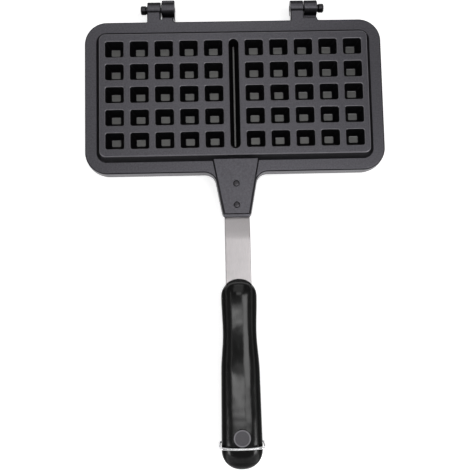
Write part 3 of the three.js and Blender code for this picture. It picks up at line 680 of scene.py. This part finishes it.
def rivet_holes():
    shank_radius = RIVET_SHANK_RADIUS + FIT_GAP
    head_radius = RIVET_HEAD_RADIUS + FIT_GAP
    holes = []
    for y in (RIVET_FRONT_Y, RIVET_REAR_Y):
        holes.append(rod(shank_radius, STRAP_TOP_Z - OVERRUN, PAD_TOP_Z + OVERRUN, y))
        holes.append(rod(head_radius, RIVET_RECESS_Z, PAD_TOP_Z + OVERRUN, y))
    return holes


def knuckle(low_x, high_x):
    return level_rod(barrel(KNUCKLE_RADIUS, low_x, high_x, KNUCKLE_EDGE_ROUND), HINGE_Y, 0)


def hinge_lug(low_x, high_x):
    """Tools that reach from the flange out to one knuckle on the hinge axis."""
    root_y = FLANGE_HALF_Y - 2 * LUG_ROUND
    slab = rounded_block(
        Vector((low_x, root_y, PARTING_Z)),
        Vector((high_x, FLANGE_HALF_Y + LUG_REACH, FLANGE_TOP_Z)),
        LUG_ROUND,
    )
    web = rounded_block(
        Vector((low_x, root_y, PARTING_Z)),
        Vector((high_x, HINGE_Y, PARTING_Z + KNUCKLE_WEB)),
        KNUCKLE_EDGE_ROUND,
    )
    return [slab, web, knuckle(low_x, high_x)]


def heel():
    """Short block behind the lower plate's inner knuckle."""
    return rounded_block(
        Vector((KNUCKLE_INNER_X, HINGE_Y, -HEEL_HALF_HEIGHT)),
        Vector((KNUCKLE_INNER_END_X, HINGE_Y + KNUCKLE_RADIUS + HEEL_LENGTH, HEEL_HALF_HEIGHT)),
        LUG_ROUND,
    )


def pin_bore():
    end_x = TAB_OUTER_X + OVERRUN
    return level_rod([(PIN_RADIUS + FIT_GAP, -end_x), (PIN_RADIUS + FIT_GAP, end_x)], HINGE_Y, 0)


def plate_casting(lower):
    plate = join(flange_body(), panel_body(), tang_pad(), tang_lip())
    plate = join(plate, *hinge_lug(KNUCKLE_INNER_X, KNUCKLE_INNER_END_X))
    plate = join(plate, *hinge_lug(-TAB_OUTER_X, -KNUCKLE_OUTER_X))
    if lower:
        plate = join(plate, heel())
    plate = cut(plate, batter_space())
    plate = join(plate, over_peg_grid(lambda: peg(peg_outline)), peg(groove_outline))
    pockets = over_peg_grid(lambda: hollow(peg_outline, POCKET_FLOOR_ROUND))
    groove = hollow(groove_outline, GROOVE_FLOOR_ROUND)
    return cut(plate, pockets, groove, overflow_ring(), strap_channel(), pin_bore(), *rivet_holes())


# Straps and rivets

def strap_bar():
    """Bar from the tang's channel up a ramp and on level through the grip, with its holes."""
    ramp_start = TANG_END_Y - STRAP_RAMP_START
    ramp_end = ramp_start - STRAP_RAMP_LENGTH
    rear_y = CHANNEL_END_Y - FIT_GAP
    slope = math.atan2(LEVEL_TOP_Z - STRAP_TOP_Z, STRAP_RAMP_LENGTH)

    def side(inset):
        """Side of the strap as (y, z), drawn in by inset all round."""
        outer = STRAP_THICKNESS - inset
        high_shift = outer * math.tan(slope / 2)
        low_shift = inset * math.tan(slope / 2)
        return round_corners([
            (STRAP_END_Y + inset, LEVEL_BOTTOM_Z + inset, 0, 0),
            (ramp_end + low_shift, LEVEL_BOTTOM_Z + inset, STRAP_UPPER_BEND + inset, BEND_STEPS),
            (ramp_start + low_shift, STRAP_BOTTOM_Z + inset, STRAP_LOWER_BEND + outer, BEND_STEPS),
            (rear_y - inset, STRAP_BOTTOM_Z + inset, 0, 0),
            (rear_y - inset, STRAP_TOP_Z - inset, 0, 0),
            (ramp_start + high_shift, STRAP_TOP_Z - inset, STRAP_LOWER_BEND + inset, BEND_STEPS),
            (ramp_end + high_shift, LEVEL_TOP_Z - inset, STRAP_UPPER_BEND + outer, BEND_STEPS),
            (STRAP_END_Y + inset, LEVEL_TOP_Z - inset, 0, 0),
        ])

    half = STRAP_WIDTH / 2
    sections = [(side(inset), -half + STRAP_EDGE_ROUND - rise)
                for inset, rise in reversed(edge_round(STRAP_EDGE_ROUND))]
    sections += [(side(inset), half - STRAP_EDGE_ROUND + rise)
                 for inset, rise in edge_round(STRAP_EDGE_ROUND)]
    bar = loft([[Vector((x, point.x, point.y)) for point in outline] for outline, x in sections])
    shanks = [
        (RIVET_SHANK_RADIUS, RIVET_FRONT_Y),
        (RIVET_SHANK_RADIUS, RIVET_REAR_Y),
        (SCREW_SHANK_RADIUS, BOSS_Y),
    ]
    low = STRAP_BOTTOM_Z - OVERRUN
    high = LEVEL_TOP_Z + OVERRUN
    return cut(bar, *[rod(radius + FIT_GAP, low, high, y) for radius, y in shanks])


def rivet(y):
    """Rivet with a domed head in the pad's recess and a round tail under the strap."""
    tail_top = STRAP_BOTTOM_Z - FIT_GAP
    head_low = RIVET_RECESS_Z + FIT_GAP
    dome_low = head_low + RIVET_HEAD_THICKNESS * RIVET_RIM_SHARE
    dome_rise = head_low + RIVET_HEAD_THICKNESS - dome_low
    tip = RIVET_SHANK_RADIUS * DOME_TIP_SHARE
    profile = [(tip, tail_top - RIVET_TAIL_THICKNESS)]
    for step in range(1, ROUND_STEPS + 1):
        angle = math.pi / 2 * step / ROUND_STEPS
        drop = RIVET_TAIL_THICKNESS * math.cos(angle)
        profile.append((RIVET_TAIL_RADIUS * math.sin(angle), tail_top - drop))
    profile += [(RIVET_SHANK_RADIUS, tail_top), (RIVET_SHANK_RADIUS, head_low)]
    profile.append((RIVET_HEAD_RADIUS, head_low))
    for step in range(DOME_STEPS):
        angle = math.pi / 2 * step / DOME_STEPS
        profile.append((RIVET_HEAD_RADIUS * math.cos(angle), dome_low + dome_rise * math.sin(angle)))
    profile.append((tip, head_low + RIVET_HEAD_THICKNESS))
    return upright(profile, y)


# Grips

def ease(from_value, to_value, from_y, to_y, y):
    """Value at y on a smooth step between two values at two places along the grip."""
    share = max(0, min(1, (y - from_y) / (to_y - from_y)))
    return from_value + (to_value - from_value) * (1 - math.cos(math.pi * share)) / 2


def end_round(y, length):
    """Share of a size that is left at y, where it falls to the grip's end like a quarter oval."""
    share = max(0, (GRIP_END_Y + length - y) / length)
    return math.sqrt(max(0, 1 - share * share))


def grip_half(y):
    """Half of the grip's width at y, behind its nose."""
    if y > GRIP_WAIST_Y:
        return ease(GRIP_NOSE_HALF, GRIP_WAIST_HALF, NOSE_CENTRE_Y, GRIP_WAIST_Y, y)
    if y > GRIP_PALM_Y:
        return ease(GRIP_WAIST_HALF, GRIP_PALM_HALF, GRIP_WAIST_Y, GRIP_PALM_Y, y)
    share = min(1, (GRIP_PALM_Y - y) / (GRIP_PALM_Y - END_CENTRE_Y))
    return (GRIP_PALM_HALF + (GRIP_HEEL_HALF - GRIP_PALM_HALF) * share) * end_round(y, GRIP_END_ROUND)


def grip_crown(y):
    """Height of the grip's crown at y, behind its nose."""
    waist_height = GRIP_HEIGHT - GRIP_WAIST_DROP
    if y > GRIP_WAIST_Y:
        return ease(GRIP_HEIGHT - GRIP_NOSE_DROP, waist_height, NOSE_CENTRE_Y, GRIP_WAIST_Y, y)
    return ease(waist_height, GRIP_HEIGHT, GRIP_WAIST_Y, GRIP_PALM_Y, y) * end_round(y, GRIP_CROWN_FALL)


def grip_section(y, half, side_height, height):
    """Flat underside with rounded rims, upright sides and an oval crown."""
    rim = min(GRIP_RIM_ROUND, half / 2, side_height / 2)
    foot = [(half - inset, PARTING_Z + rim - rise) for inset, rise in reversed(edge_round(rim))]
    points = [Vector((x, y, z)) for x, z in foot]
    for step in range(CROWN_STEPS + 1):
        angle = math.pi * step / CROWN_STEPS
        across = math.copysign(abs(math.cos(angle)) ** GRIP_CROWN_POWER, math.cos(angle))
        z = PARTING_Z + side_height + (height - side_height) * math.sin(angle) ** GRIP_CROWN_POWER
        points.append(Vector((half * across, y, z)))
    points += [Vector((-x, y, z)) for x, z in reversed(foot)]
    return points


def grip_body():
    """Grip from its round nose over the waist and the palm to its round end."""
    sections = []
    for step in range(NOSE_STEPS + 1):
        angle = math.pi / 2 * max(step, DOME_TIP_SHARE) / NOSE_STEPS
        y = NOSE_CENTRE_Y + (GRIP_NOSE_HALF - GRIP_LIP_WIDTH) * math.cos(angle)
        side_height = GRIP_SIDE_HEIGHT + (GRIP_NOSE_SIDE_HEIGHT - GRIP_SIDE_HEIGHT) * math.cos(angle)
        height = GRIP_NOSE_SECTION + (GRIP_HEIGHT - GRIP_NOSE_DROP - GRIP_NOSE_SECTION) * math.sin(angle)
        half = GRIP_NOSE_HALF * math.sin(angle) ** GRIP_NOSE_POWER
        sections.append(grip_section(y, half, side_height, height))
    places = [NOSE_CENTRE_Y + (END_CENTRE_Y - NOSE_CENTRE_Y) * step / BODY_STEPS
              for step in range(1, BODY_STEPS + 1)]
    for step in range(1, END_STEPS + 1):
        angle = math.pi / 2 * min(step, END_STEPS - DOME_TIP_SHARE) / END_STEPS
        places.append(END_CENTRE_Y - GRIP_END_ROUND * math.sin(angle))
    for y in places:
        side_height = GRIP_SIDE_HEIGHT * end_round(y, GRIP_CROWN_FALL)
        sections.append(grip_section(y, grip_half(y), side_height, grip_crown(y)))
    return loft(sections)


def nose_lip():
    """Low lip round the nose, as wide as the strap's slot."""
    first_angle = math.acos(CHANNEL_HALF / GRIP_NOSE_HALF)
    span = math.pi - 2 * first_angle

    def outline(inset):
        radius = GRIP_NOSE_HALF - inset
        points = []
        for step in range(LIP_STEPS + 1):
            angle = first_angle + span * step / LIP_STEPS
            points.append(Vector((radius * math.cos(angle), NOSE_CENTRE_Y + radius * math.sin(angle))))
        return points

    levels = [(outline(inset), PARTING_Z + GRIP_RIM_ROUND - rise)
              for inset, rise in reversed(edge_round(GRIP_RIM_ROUND))]
    levels += [(outline(inset), GRIP_LIP_HEIGHT - GRIP_LIP_ROUND + rise)
               for inset, rise in edge_round(GRIP_LIP_ROUND)]
    return stack(levels)


def boss():
    profile = [(BOSS_RADIUS, BOSS_TOP_Z - GRIP_HEIGHT / 2)]
    profile += [(BOSS_RADIUS - inset, BOSS_TOP_Z - BOSS_EDGE_ROUND + rise)
                for inset, rise in edge_round(BOSS_EDGE_ROUND)]
    return upright(profile, BOSS_Y)


def grip(lower):
    """Grip with the strap's slot and the screw's bore, and the lower one with the bail's sockets."""
    body = join(grip_body(), nose_lip(), boss())
    slot = box_cut(
        Vector((-CHANNEL_HALF, STRAP_END_Y - FIT_GAP, LEVEL_BOTTOM_Z - FIT_GAP)),
        Vector((CHANNEL_HALF, GRIP_NOSE_Y + OVERRUN, LEVEL_TOP_Z + FIT_GAP)),
    )
    shank_low = LEVEL_BOTTOM_Z - SCREW_SHANK_REACH - FIT_GAP
    shank = rod(SCREW_SHANK_RADIUS + FIT_GAP, shank_low, SCREW_SEAT_Z + OVERRUN, BOSS_Y)
    bore = rod(SCREW_BORE_RADIUS, SCREW_SEAT_Z, BOSS_TOP_Z + OVERRUN, BOSS_Y)
    body = cut(body, slot, shank, bore)
    if lower:
        inner = BAIL_PIN_END_X - FIT_GAP
        outer = GRIP_HEEL_HALF + OVERRUN
        radius = WIRE_RADIUS + FIT_GAP
        for low_x, high_x in ((inner, outer), (-outer, -inner)):
            body = cut(body, level_rod([(radius, low_x), (radius, high_x)], BAIL_AXIS_Y, BAIL_AXIS_DEPTH))
    return body


def grip_cap():
    """Cap with a dished top, on a stem that fits the screw's bore."""
    low = BOSS_TOP_Z + FIT_GAP
    stem_radius = SCREW_BORE_RADIUS - FIT_GAP
    tip = stem_radius * DOME_TIP_SHARE
    profile = [(tip, low - CAP_STEM), (stem_radius, low - CAP_STEM), (stem_radius, low), (BOSS_RADIUS, low)]
    profile += [(BOSS_RADIUS - inset, CAP_TOP_Z - CAP_EDGE_ROUND + rise)
                for inset, rise in edge_round(CAP_EDGE_ROUND)]
    dish_radius = BOSS_RADIUS - CAP_RIM_WIDTH
    dish_z = CAP_TOP_Z - CAP_DISH_DEPTH
    profile += [(dish_radius, CAP_TOP_Z), (dish_radius - CAP_DISH_DEPTH, dish_z), (tip, dish_z)]
    return upright(profile, BOSS_Y)


# Hinge pins

def hinge_pin():
    """Pin through both knuckles, with a collar and a head outside the outer one."""
    tip_x = KNUCKLE_INNER_X - PIN_STICK_OUT
    collar_x = TAB_OUTER_X + FIT_GAP
    head_x = collar_x + PIN_COLLAR_LENGTH
    end_x = head_x + PIN_HEAD_LENGTH
    tip = PIN_RADIUS * DOME_TIP_SHARE
    profile = [(tip, tip_x)]
    profile += [(PIN_RADIUS - inset, tip_x + PIN_STICK_OUT - rise)
                for inset, rise in reversed(edge_round(PIN_STICK_OUT))]
    profile += [(PIN_RADIUS, collar_x), (PIN_COLLAR_RADIUS, collar_x), (PIN_COLLAR_RADIUS, head_x)]
    profile += barrel(PIN_HEAD_RADIUS, head_x, end_x, PIN_HEAD_ROUND)
    profile.append((tip, end_x))
    return level_rod(profile, HINGE_Y, 0)


# Bail

def bail_line():
    """Centre line of the wire in the plane of the loop, as X across and Y up from the bail's axis."""
    height = BAR_Z + BAIL_AXIS_DEPTH
    arch = []
    for step in range(ARCH_STEPS + 1):
        share = 1 - 2 * step / ARCH_STEPS
        arch.append(Vector((BAIL_ARCH_HALF * share, height - BAIL_ARCH_DROP * share * share)))
    shoulder = height - BAIL_ARCH_DROP - BAIL_SHOULDER_DROP
    right = round_corners([
        (BAIL_PIN_END_X, 0, 0, 0),
        (BAIL_LEG_X, 0, BAIL_ELBOW, BEND_STEPS),
        (BAIL_LEG_X, shoulder, BAIL_SHOULDER, BEND_STEPS),
        (arch[0].x, arch[0].y, 0, 0),
    ])[:-1]
    left = [Vector((-point.x, point.y)) for point in reversed(right)]
    return right + arch + left


def bail_wire():
    line = bail_line()
    rings = []
    for index, point in enumerate(line):
        before = line[max(index - 1, 0)]
        after = line[min(index + 1, len(line) - 1)]
        ahead = (after - before).normalized()
        ring = []
        for side in range(WIRE_SIDES):
            angle = 2 * math.pi * side / WIRE_SIDES
            across = WIRE_RADIUS * math.cos(angle)
            out = WIRE_RADIUS * math.sin(angle)
            ring.append(Vector((point.x - ahead.y * across, -out, point.y + ahead.x * across)))
        rings.append(ring)
    mesh = loft(rings)
    mesh.transform(Matrix.Translation((0, BAIL_AXIS_Y, -BAIL_AXIS_DEPTH)))
    return mesh


# Materials

NOISE_MIDDLE_SHARES = (0.3, 0.7)
RIM_HIGHLIGHT_FADE = 0.04
FLOOR_LIGHT_FADE = 0.3
LEVEL_SHARE = 0.985
STEEP_SHARE = 0.9
SLOPE_SHARE = 0.2
WALL_SHARE = 0.1
# Specular tints with and without the painted shade on slopes
SLOPE_SHADE_TINT = (0.4, 0.4, 0.4)
FULL_TINT = (1.0, 1.0, 1.0)

# Gloss of the black plastic, by how far a face is turned sideways or lengthways: a painted sheen where it
# is high and painted shade where it is low
CROWN_EDGE_SHARES = (0.5, 0.64)
SIDE_SHARES = (0.9, 1)
NOSE_SHARES = (0.2, 0.5)
END_SHARES = (-0.6, -0.3)
CROWN_GLOSS = 0.3
FLANK_GLOSS = 0.02
SIDE_GLOSS = 0.4
NOSE_GLOSS = 0.6
END_GLOSS_SHARE = 0.1


def new_material(name, color, metallic, roughness):
    made = bpy.data.materials.new(name)
    made.use_nodes = True
    shader = made.node_tree.nodes["Principled BSDF"]
    shader.inputs["Base Color"].default_value = (*color, 1)
    shader.inputs["Metallic"].default_value = metallic
    shader.inputs["Roughness"].default_value = roughness
    return made, shader


def add(material, kind, **inputs):
    node = material.node_tree.nodes.new(kind)
    for name, value in inputs.items():
        node.inputs[name].default_value = value
    return node


def link(material, source, target):
    material.node_tree.links.new(source, target)


def noise(material, scale, detail, stretch=(1, 1, 1)):
    """Noise in metres, so that its grain keeps its size; a small stretch value lengthens it."""
    place = add(material, "ShaderNodeTexCoord")
    mapping = add(material, "ShaderNodeMapping", Scale=stretch)
    texture = add(material, "ShaderNodeTexNoise", Scale=scale, Detail=detail)
    link(material, place.outputs["Object"], mapping.inputs["Vector"])
    link(material, mapping.outputs["Vector"], texture.inputs["Vector"])
    return texture.outputs["Fac"]


def ramp(material, value, from_low, from_high, to_low=0.0, to_high=1.0):
    """value taken from one range to another, and held at the ends of the second one."""
    node = add(material, "ShaderNodeMapRange")
    node.inputs["From Min"].default_value = from_low
    node.inputs["From Max"].default_value = from_high
    node.inputs["To Min"].default_value = to_low
    node.inputs["To Max"].default_value = to_high
    link(material, value, node.inputs["Value"])
    return node.outputs["Result"]


def spread(material, value, low=0.0, high=1.0):
    """value, which is around a half, spread from low to high."""
    return ramp(material, value, *NOISE_MIDDLE_SHARES, low, high)


def mix_colors(material, value, low, high):
    """Colour between two, by a value from 0 to 1; each is a colour or another node's output."""
    node = material.node_tree.nodes.new("ShaderNodeMix")
    node.data_type = "RGBA"
    sockets = [socket for socket in node.inputs if socket.type == "RGBA"]
    for socket, color in zip(sockets, (low, high)):
        if isinstance(color, tuple):
            socket.default_value = (*color, 1)
        else:
            link(material, color, socket)
    link(material, value, node.inputs[0])
    return [socket for socket in node.outputs if socket.type == "RGBA"][0]


def bump(material, shader, value, distance):
    """Bump as high as a distance in millimetres."""
    node = add(material, "ShaderNodeBump", Strength=1, Distance=distance * MM)
    link(material, value, node.inputs["Height"])
    link(material, node.outputs["Normal"], shader.inputs["Normal"])


def calculate(material, operation, first, second=0.0):
    """One node's output and a plain number in one sum, product or the like."""
    node = material.node_tree.nodes.new("ShaderNodeMath")
    node.operation = operation
    node.inputs[1].default_value = second
    link(material, first, node.inputs[0])
    return node.outputs[0]


def combine(material, operation, first, second):
    """Two nodes' outputs in one sum, product or the like."""
    result = calculate(material, operation, first)
    link(material, second, result.node.inputs[1])
    return result


def part_along(material, axis, output):
    """Part along X, Y or Z of one of the object's own coordinates, its places or its normals."""
    place = add(material, "ShaderNodeTexCoord")
    parts = add(material, "ShaderNodeSeparateXYZ")
    link(material, place.outputs[output], parts.inputs["Vector"])
    return parts.outputs[axis]


def height_band(material, low, high, fade):
    """1 between two distances in millimetres from the plane between the halves, and 0 past a fade."""
    height = calculate(material, "SUBTRACT", part_along(material, "Z", "Object"), IRON_ORIGIN.z)
    height = calculate(material, "ABSOLUTE", height)
    height = calculate(material, "DIVIDE", height, MM)
    above_low = ramp(material, height, low - fade, low)
    below_high = ramp(material, height, high + fade, high)
    return combine(material, "MULTIPLY", above_low, below_high)


def facing(material, axis, low, high, at_low=0, at_high=1):
    """at_high on faces turned along an axis by more than the share high, and at_low below low."""
    turned_share = calculate(material, "ABSOLUTE", part_along(material, axis, "Normal"))
    return ramp(material, turned_share, low, high, at_low, at_high)


def coated_aluminium():
    """Dark coating, with painted shade that makes it darker on slopes, a painted highlight that makes it
    lighter along the rims, and painted light that makes the pockets' floors greyer.
    """
    made, shader = new_material("coated_aluminium", (0.095, 0.092, 0.104), metallic=0.85, roughness=0.35)
    coat_tones = (0.078, 0.0755, 0.085), (0.108, 0.105, 0.118)
    slope_shade_tones = (0.018, 0.0175, 0.02), (0.022, 0.0215, 0.024)
    rim_highlight_color = (0.17, 0.165, 0.18)
    pocket_floor_light_color = (0.115, 0.115, 0.112)
    fleck = noise(made, scale=1500, detail=3)
    tone = spread(made, noise(made, scale=800, detail=4))
    # Painted shade: faces that are neither level nor upright get the darker slope tones and the darker
    # specular tint.
    level = facing(made, "Z", STEEP_SHARE, LEVEL_SHARE)
    walls = facing(made, "Z", WALL_SHARE, SLOPE_SHARE, at_low=1, at_high=0)
    even = combine(made, "ADD", level, walls)
    coat = mix_colors(made, tone, *coat_tones)
    coat = mix_colors(made, even, mix_colors(made, tone, *slope_shade_tones), coat)
    # Painted highlight along the rounds of the pocket mouths and the panel's edge.
    rim_highlight = height_band(made, PANEL_TOP_Z - POCKET_MOUTH_ROUND, PANEL_TOP_Z - RIM_HIGHLIGHT_FADE, RIM_HIGHLIGHT_FADE)
    coat = mix_colors(made, rim_highlight, coat, rim_highlight_color)
    # Painted light on the level faces of the pockets' floors, which makes them greyer.
    lit_floors = height_band(made, POCKET_FLOOR_Z, POCKET_FLOOR_Z + FLOOR_LIGHT_FADE, FLOOR_LIGHT_FADE)
    lit_floors = combine(made, "MULTIPLY", lit_floors, level)
    coat = mix_colors(made, lit_floors, coat, pocket_floor_light_color)
    link(made, coat, shader.inputs["Base Color"])
    link(made, mix_colors(made, even, SLOPE_SHADE_TINT, FULL_TINT), shader.inputs["Specular Tint"])
    link(made, spread(made, fleck, low=0.32, high=0.4), shader.inputs["Roughness"])
    bump(made, shader, fleck, distance=0.04)
    return made


def brushed_steel():
    """Steel brushed along the strap."""
    made, shader = new_material("brushed_steel", (0.44, 0.418, 0.422), metallic=1, roughness=0.33)
    grain = spread(made, noise(made, scale=2200, detail=4, stretch=(1, 0.12, 1)))
    color = mix_colors(made, grain, low=(0.415, 0.395, 0.4), high=(0.465, 0.442, 0.447))
    link(made, color, shader.inputs["Base Color"])
    link(made, spread(made, grain, low=0.3, high=0.36), shader.inputs["Roughness"])
    bump(made, shader, grain, distance=0.01)
    return made


def black_plastic():
    """Moulding that waves a little, with a painted sheen that makes it glossiest at its nose and painted
    shade that makes it dull on its flanks and at its end.
    """
    made, shader = new_material("black_plastic", (0.005, 0.005, 0.005), metallic=0, roughness=0.17)
    crown = facing(made, "X", *CROWN_EDGE_SHARES, at_low=CROWN_GLOSS, at_high=FLANK_GLOSS)
    sides = facing(made, "X", *SIDE_SHARES, at_low=0, at_high=SIDE_GLOSS)
    lengthwise = part_along(made, "Y", "Normal")
    nose = ramp(made, lengthwise, *NOSE_SHARES, to_low=0, to_high=NOSE_GLOSS)
    end = ramp(made, lengthwise, *END_SHARES, to_low=END_GLOSS_SHARE, to_high=1)
    # Painted sheen and shade: the specular level is set by which way each face is turned.
    painted_sheen_and_shade = combine(made, "MAXIMUM", crown, sides)
    painted_sheen_and_shade = combine(made, "MULTIPLY", painted_sheen_and_shade, end)
    painted_sheen_and_shade = combine(made, "MAXIMUM", painted_sheen_and_shade, nose)
    link(made, painted_sheen_and_shade, shader.inputs["Specular IOR Level"])
    haze = spread(made, noise(made, scale=90, detail=3), low=0.14, high=0.2)
    link(made, haze, shader.inputs["Roughness"])
    bump(made, shader, noise(made, scale=40, detail=2), distance=0.6)
    return made


def matte_plastic():
    """Matte moulding, with a painted highlight that makes it lighter on the cap's raised rim."""
    made, shader = new_material("matte_plastic", (0.074, 0.07, 0.079), metallic=0, roughness=0.7)
    cap_rim_highlight_color = (0.2, 0.194, 0.21)
    grain = noise(made, scale=1800, detail=3)
    color = mix_colors(made, spread(made, grain), low=(0.062, 0.059, 0.066), high=(0.086, 0.081, 0.092))
    # Painted highlight on the cap's raised rim.
    cap_rim_highlight = height_band(made, CAP_TOP_Z - CAP_DISH_DEPTH / 2, CAP_TOP_Z + OVERRUN, RIM_HIGHLIGHT_FADE)
    link(made, mix_colors(made, cap_rim_highlight, color, cap_rim_highlight_color), shader.inputs["Base Color"])
    bump(made, shader, grain, distance=0.03)
    return made


def dark_steel():
    """Dull steel, with painted shade that makes it darker where it slopes."""
    made, shader = new_material("dark_steel", (0.045, 0.043, 0.047), metallic=0.9, roughness=0.34)
    grain = noise(made, scale=700, detail=3)
    level = facing(made, "Z", STEEP_SHARE, LEVEL_SHARE)
    # Painted shade: sloping faces get the darker colour, level ones the lighter.
    color = mix_colors(made, level, low=(0.015, 0.0145, 0.016), high=(0.055, 0.053, 0.058))
    link(made, color, shader.inputs["Base Color"])
    link(made, spread(made, grain, low=0.28, high=0.42), shader.inputs["Roughness"])
    bump(made, shader, grain, distance=0.02)
    return made


def chrome_wire():
    """Polished wire with a faintly uneven shine."""
    made, shader = new_material("chrome_wire", (0.75, 0.75, 0.76), metallic=1, roughness=0.12)
    haze = spread(made, noise(made, scale=500, detail=2), low=0.08, high=0.18)
    link(made, haze, shader.inputs["Roughness"])
    return made


materials = {
    "coated_aluminium": coated_aluminium(),
    "brushed_steel": brushed_steel(),
    "black_plastic": black_plastic(),
    "matte_plastic": matte_plastic(),
    "dark_steel": dark_steel(),
    "chrome_wire": chrome_wire(),
}


# Pieces

def put_in_row(mesh, lower):
    turn = Matrix.Rotation(math.pi, 4, "Y") if lower else Matrix.Identity(4)
    mesh.transform(Matrix.Translation(IRON_ORIGIN) @ turn @ Matrix.Scale(MM, 4))


def piece(mesh, node, body, slot, lower=False):
    """Makes the piece that stands for a CAD node and rides on a body."""
    put_in_row(mesh, lower)
    bmesh.ops.recalc_face_normals(mesh, faces=mesh.faces)
    made = to_object(mesh, node + "_look")
    made.data.materials.append(materials[slot])
    made.data.shade_smooth()
    made.data.set_sharp_from_angle(angle=SHARP_ANGLE)
    normals = made.modifiers.new("even_shading", "WEIGHTED_NORMAL")
    normals.keep_sharp = True
    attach(made, body)
    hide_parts(node)


def make_half(prefix, lower):
    body = prefix + " half"
    piece(plate_casting(lower), prefix + "_plate", body, "coated_aluminium", lower)
    piece(strap_bar(), prefix + "_strap", body, "brushed_steel", lower)
    piece(rivet(RIVET_FRONT_Y), prefix + "_strap_rivet_front", body, "dark_steel", lower)
    piece(rivet(RIVET_REAR_Y), prefix + "_strap_rivet_rear", body, "dark_steel", lower)
    piece(grip(lower), prefix + "_grip", body, "black_plastic", lower)
    piece(grip_cap(), prefix + "_grip_cap", body, "matte_plastic", lower)
    screw = frame["nodes"][prefix + "_grip_screw"]
    screw.data.materials.clear()
    screw.data.materials.append(materials["dark_steel"])


make_half("upper", lower=False)
make_half("lower", lower=True)
piece(hinge_pin(), "hinge_pin_right", "upper half", "dark_steel")
piece(hinge_pin(), "hinge_pin_left", "lower half", "dark_steel", lower=True)
piece(bail_wire(), "latch_bail", "latch", "chrome_wire")


# Floor and light, in metres

FLOOR_RADIUS = 3.0
FLOOR_COVE = 0.5
WALL_HEIGHT = 1.6
FLOOR_COLOR = 0.85
FLOOR_CAMERA_LIFT = 0.62
WORLD_STRENGTH = 0.17
HIGH_LAMPS = 1.5
LOW_LAMPS = 0.8

# Each lamp's name, its corners at the lowest and highest (x, y), its height and its brightness
LAMPS = [
    ("right_box", (0.32, -0.49), (1.0, 0.05), HIGH_LAMPS, 5.4),
    ("front_box", (-0.9, -0.44), (0.27, -0.3), HIGH_LAMPS, 8.5),
    ("top_box", (-0.2, 0.06), (0.25, 0.3), HIGH_LAMPS, 2.2),
    ("rear_box", (-0.55, 0.35), (0.4, 1.0), HIGH_LAMPS, 0.9),
    ("back_box", (-0.5, 1.05), (0.5, 1.6), HIGH_LAMPS, 1.2),
    ("left_strip", (-1.04, -0.4), (-0.95, 0.3), HIGH_LAMPS, 2),
    ("low_right_box", (0.9, -1.3), (1.5, -0.5), LOW_LAMPS, 7),
    ("low_left_box", (-1.5, -1.3), (-0.9, -0.5), LOW_LAMPS, 6),
]


def floor_material():
    """Plain diffuse floor, lifted to white where it is seen, mirrored or seen through something."""
    made = bpy.data.materials.new("floor")
    made.use_nodes = True
    made.node_tree.nodes.clear()
    rays = add(made, "ShaderNodeLightPath").outputs
    seen = combine(made, "MAXIMUM", rays["Is Camera Ray"], rays["Is Glossy Ray"])
    seen = combine(made, "MAXIMUM", seen, rays["Is Transmission Ray"])
    diffuse = add(made, "ShaderNodeBsdfDiffuse", Color=(FLOOR_COLOR, FLOOR_COLOR, FLOOR_COLOR, 1))
    glow = add(made, "ShaderNodeEmission")
    both = add(made, "ShaderNodeAddShader")
    output = add(made, "ShaderNodeOutputMaterial")
    link(made, calculate(made, "MULTIPLY", seen, FLOOR_CAMERA_LIFT), glow.inputs["Strength"])
    link(made, diffuse.outputs["BSDF"], both.inputs[0])
    link(made, glow.outputs["Emission"], both.inputs[1])
    link(made, both.outputs["Shader"], output.inputs["Surface"])
    return made


def make_floor():
    """Round floor with a wall that rises from it in a cove."""
    profile = [(FLOOR_RADIUS * DOME_TIP_SHARE, 0)]
    profile += [(FLOOR_RADIUS - inset, rise) for inset, rise in cove(FLOOR_COVE, FILLET_STEPS)]
    profile.append((FLOOR_RADIUS, WALL_HEIGHT))
    mesh = turned(profile)
    mesh.faces.ensure_lookup_table()
    bmesh.ops.delete(mesh, geom=[mesh.faces[-1]], context="FACES_ONLY")
    floor = to_object(mesh, "floor")
    floor.data.shade_smooth()
    floor.data.materials.append(floor_material())


def make_world():
    world = bpy.data.worlds.new("studio")
    world.use_nodes = True
    background = world.node_tree.nodes["Background"]
    background.inputs["Color"].default_value = (1, 1, 1, 1)
    background.inputs["Strength"].default_value = WORLD_STRENGTH
    bpy.context.scene.world = world


def softbox(name, low, high, height, brightness):
    """Level lamp between two (x, y) corners; at a brightness of 1 it shows as white."""
    width = high[0] - low[0]
    length = high[1] - low[1]
    data = bpy.data.lights.new(name, "AREA")
    data.shape = "RECTANGLE"
    data.size = width
    data.size_y = length
    data.energy = brightness * math.pi * width * length
    lamp = bpy.data.objects.new(name, data)
    bpy.context.scene.collection.objects.link(lamp)
    lamp.location = ((low[0] + high[0]) / 2, (low[1] + high[1]) / 2, height)


make_floor()
make_world()
for lamp in LAMPS:
    softbox(*lamp)
bpy.context.scene.view_settings.view_transform = "Standard"
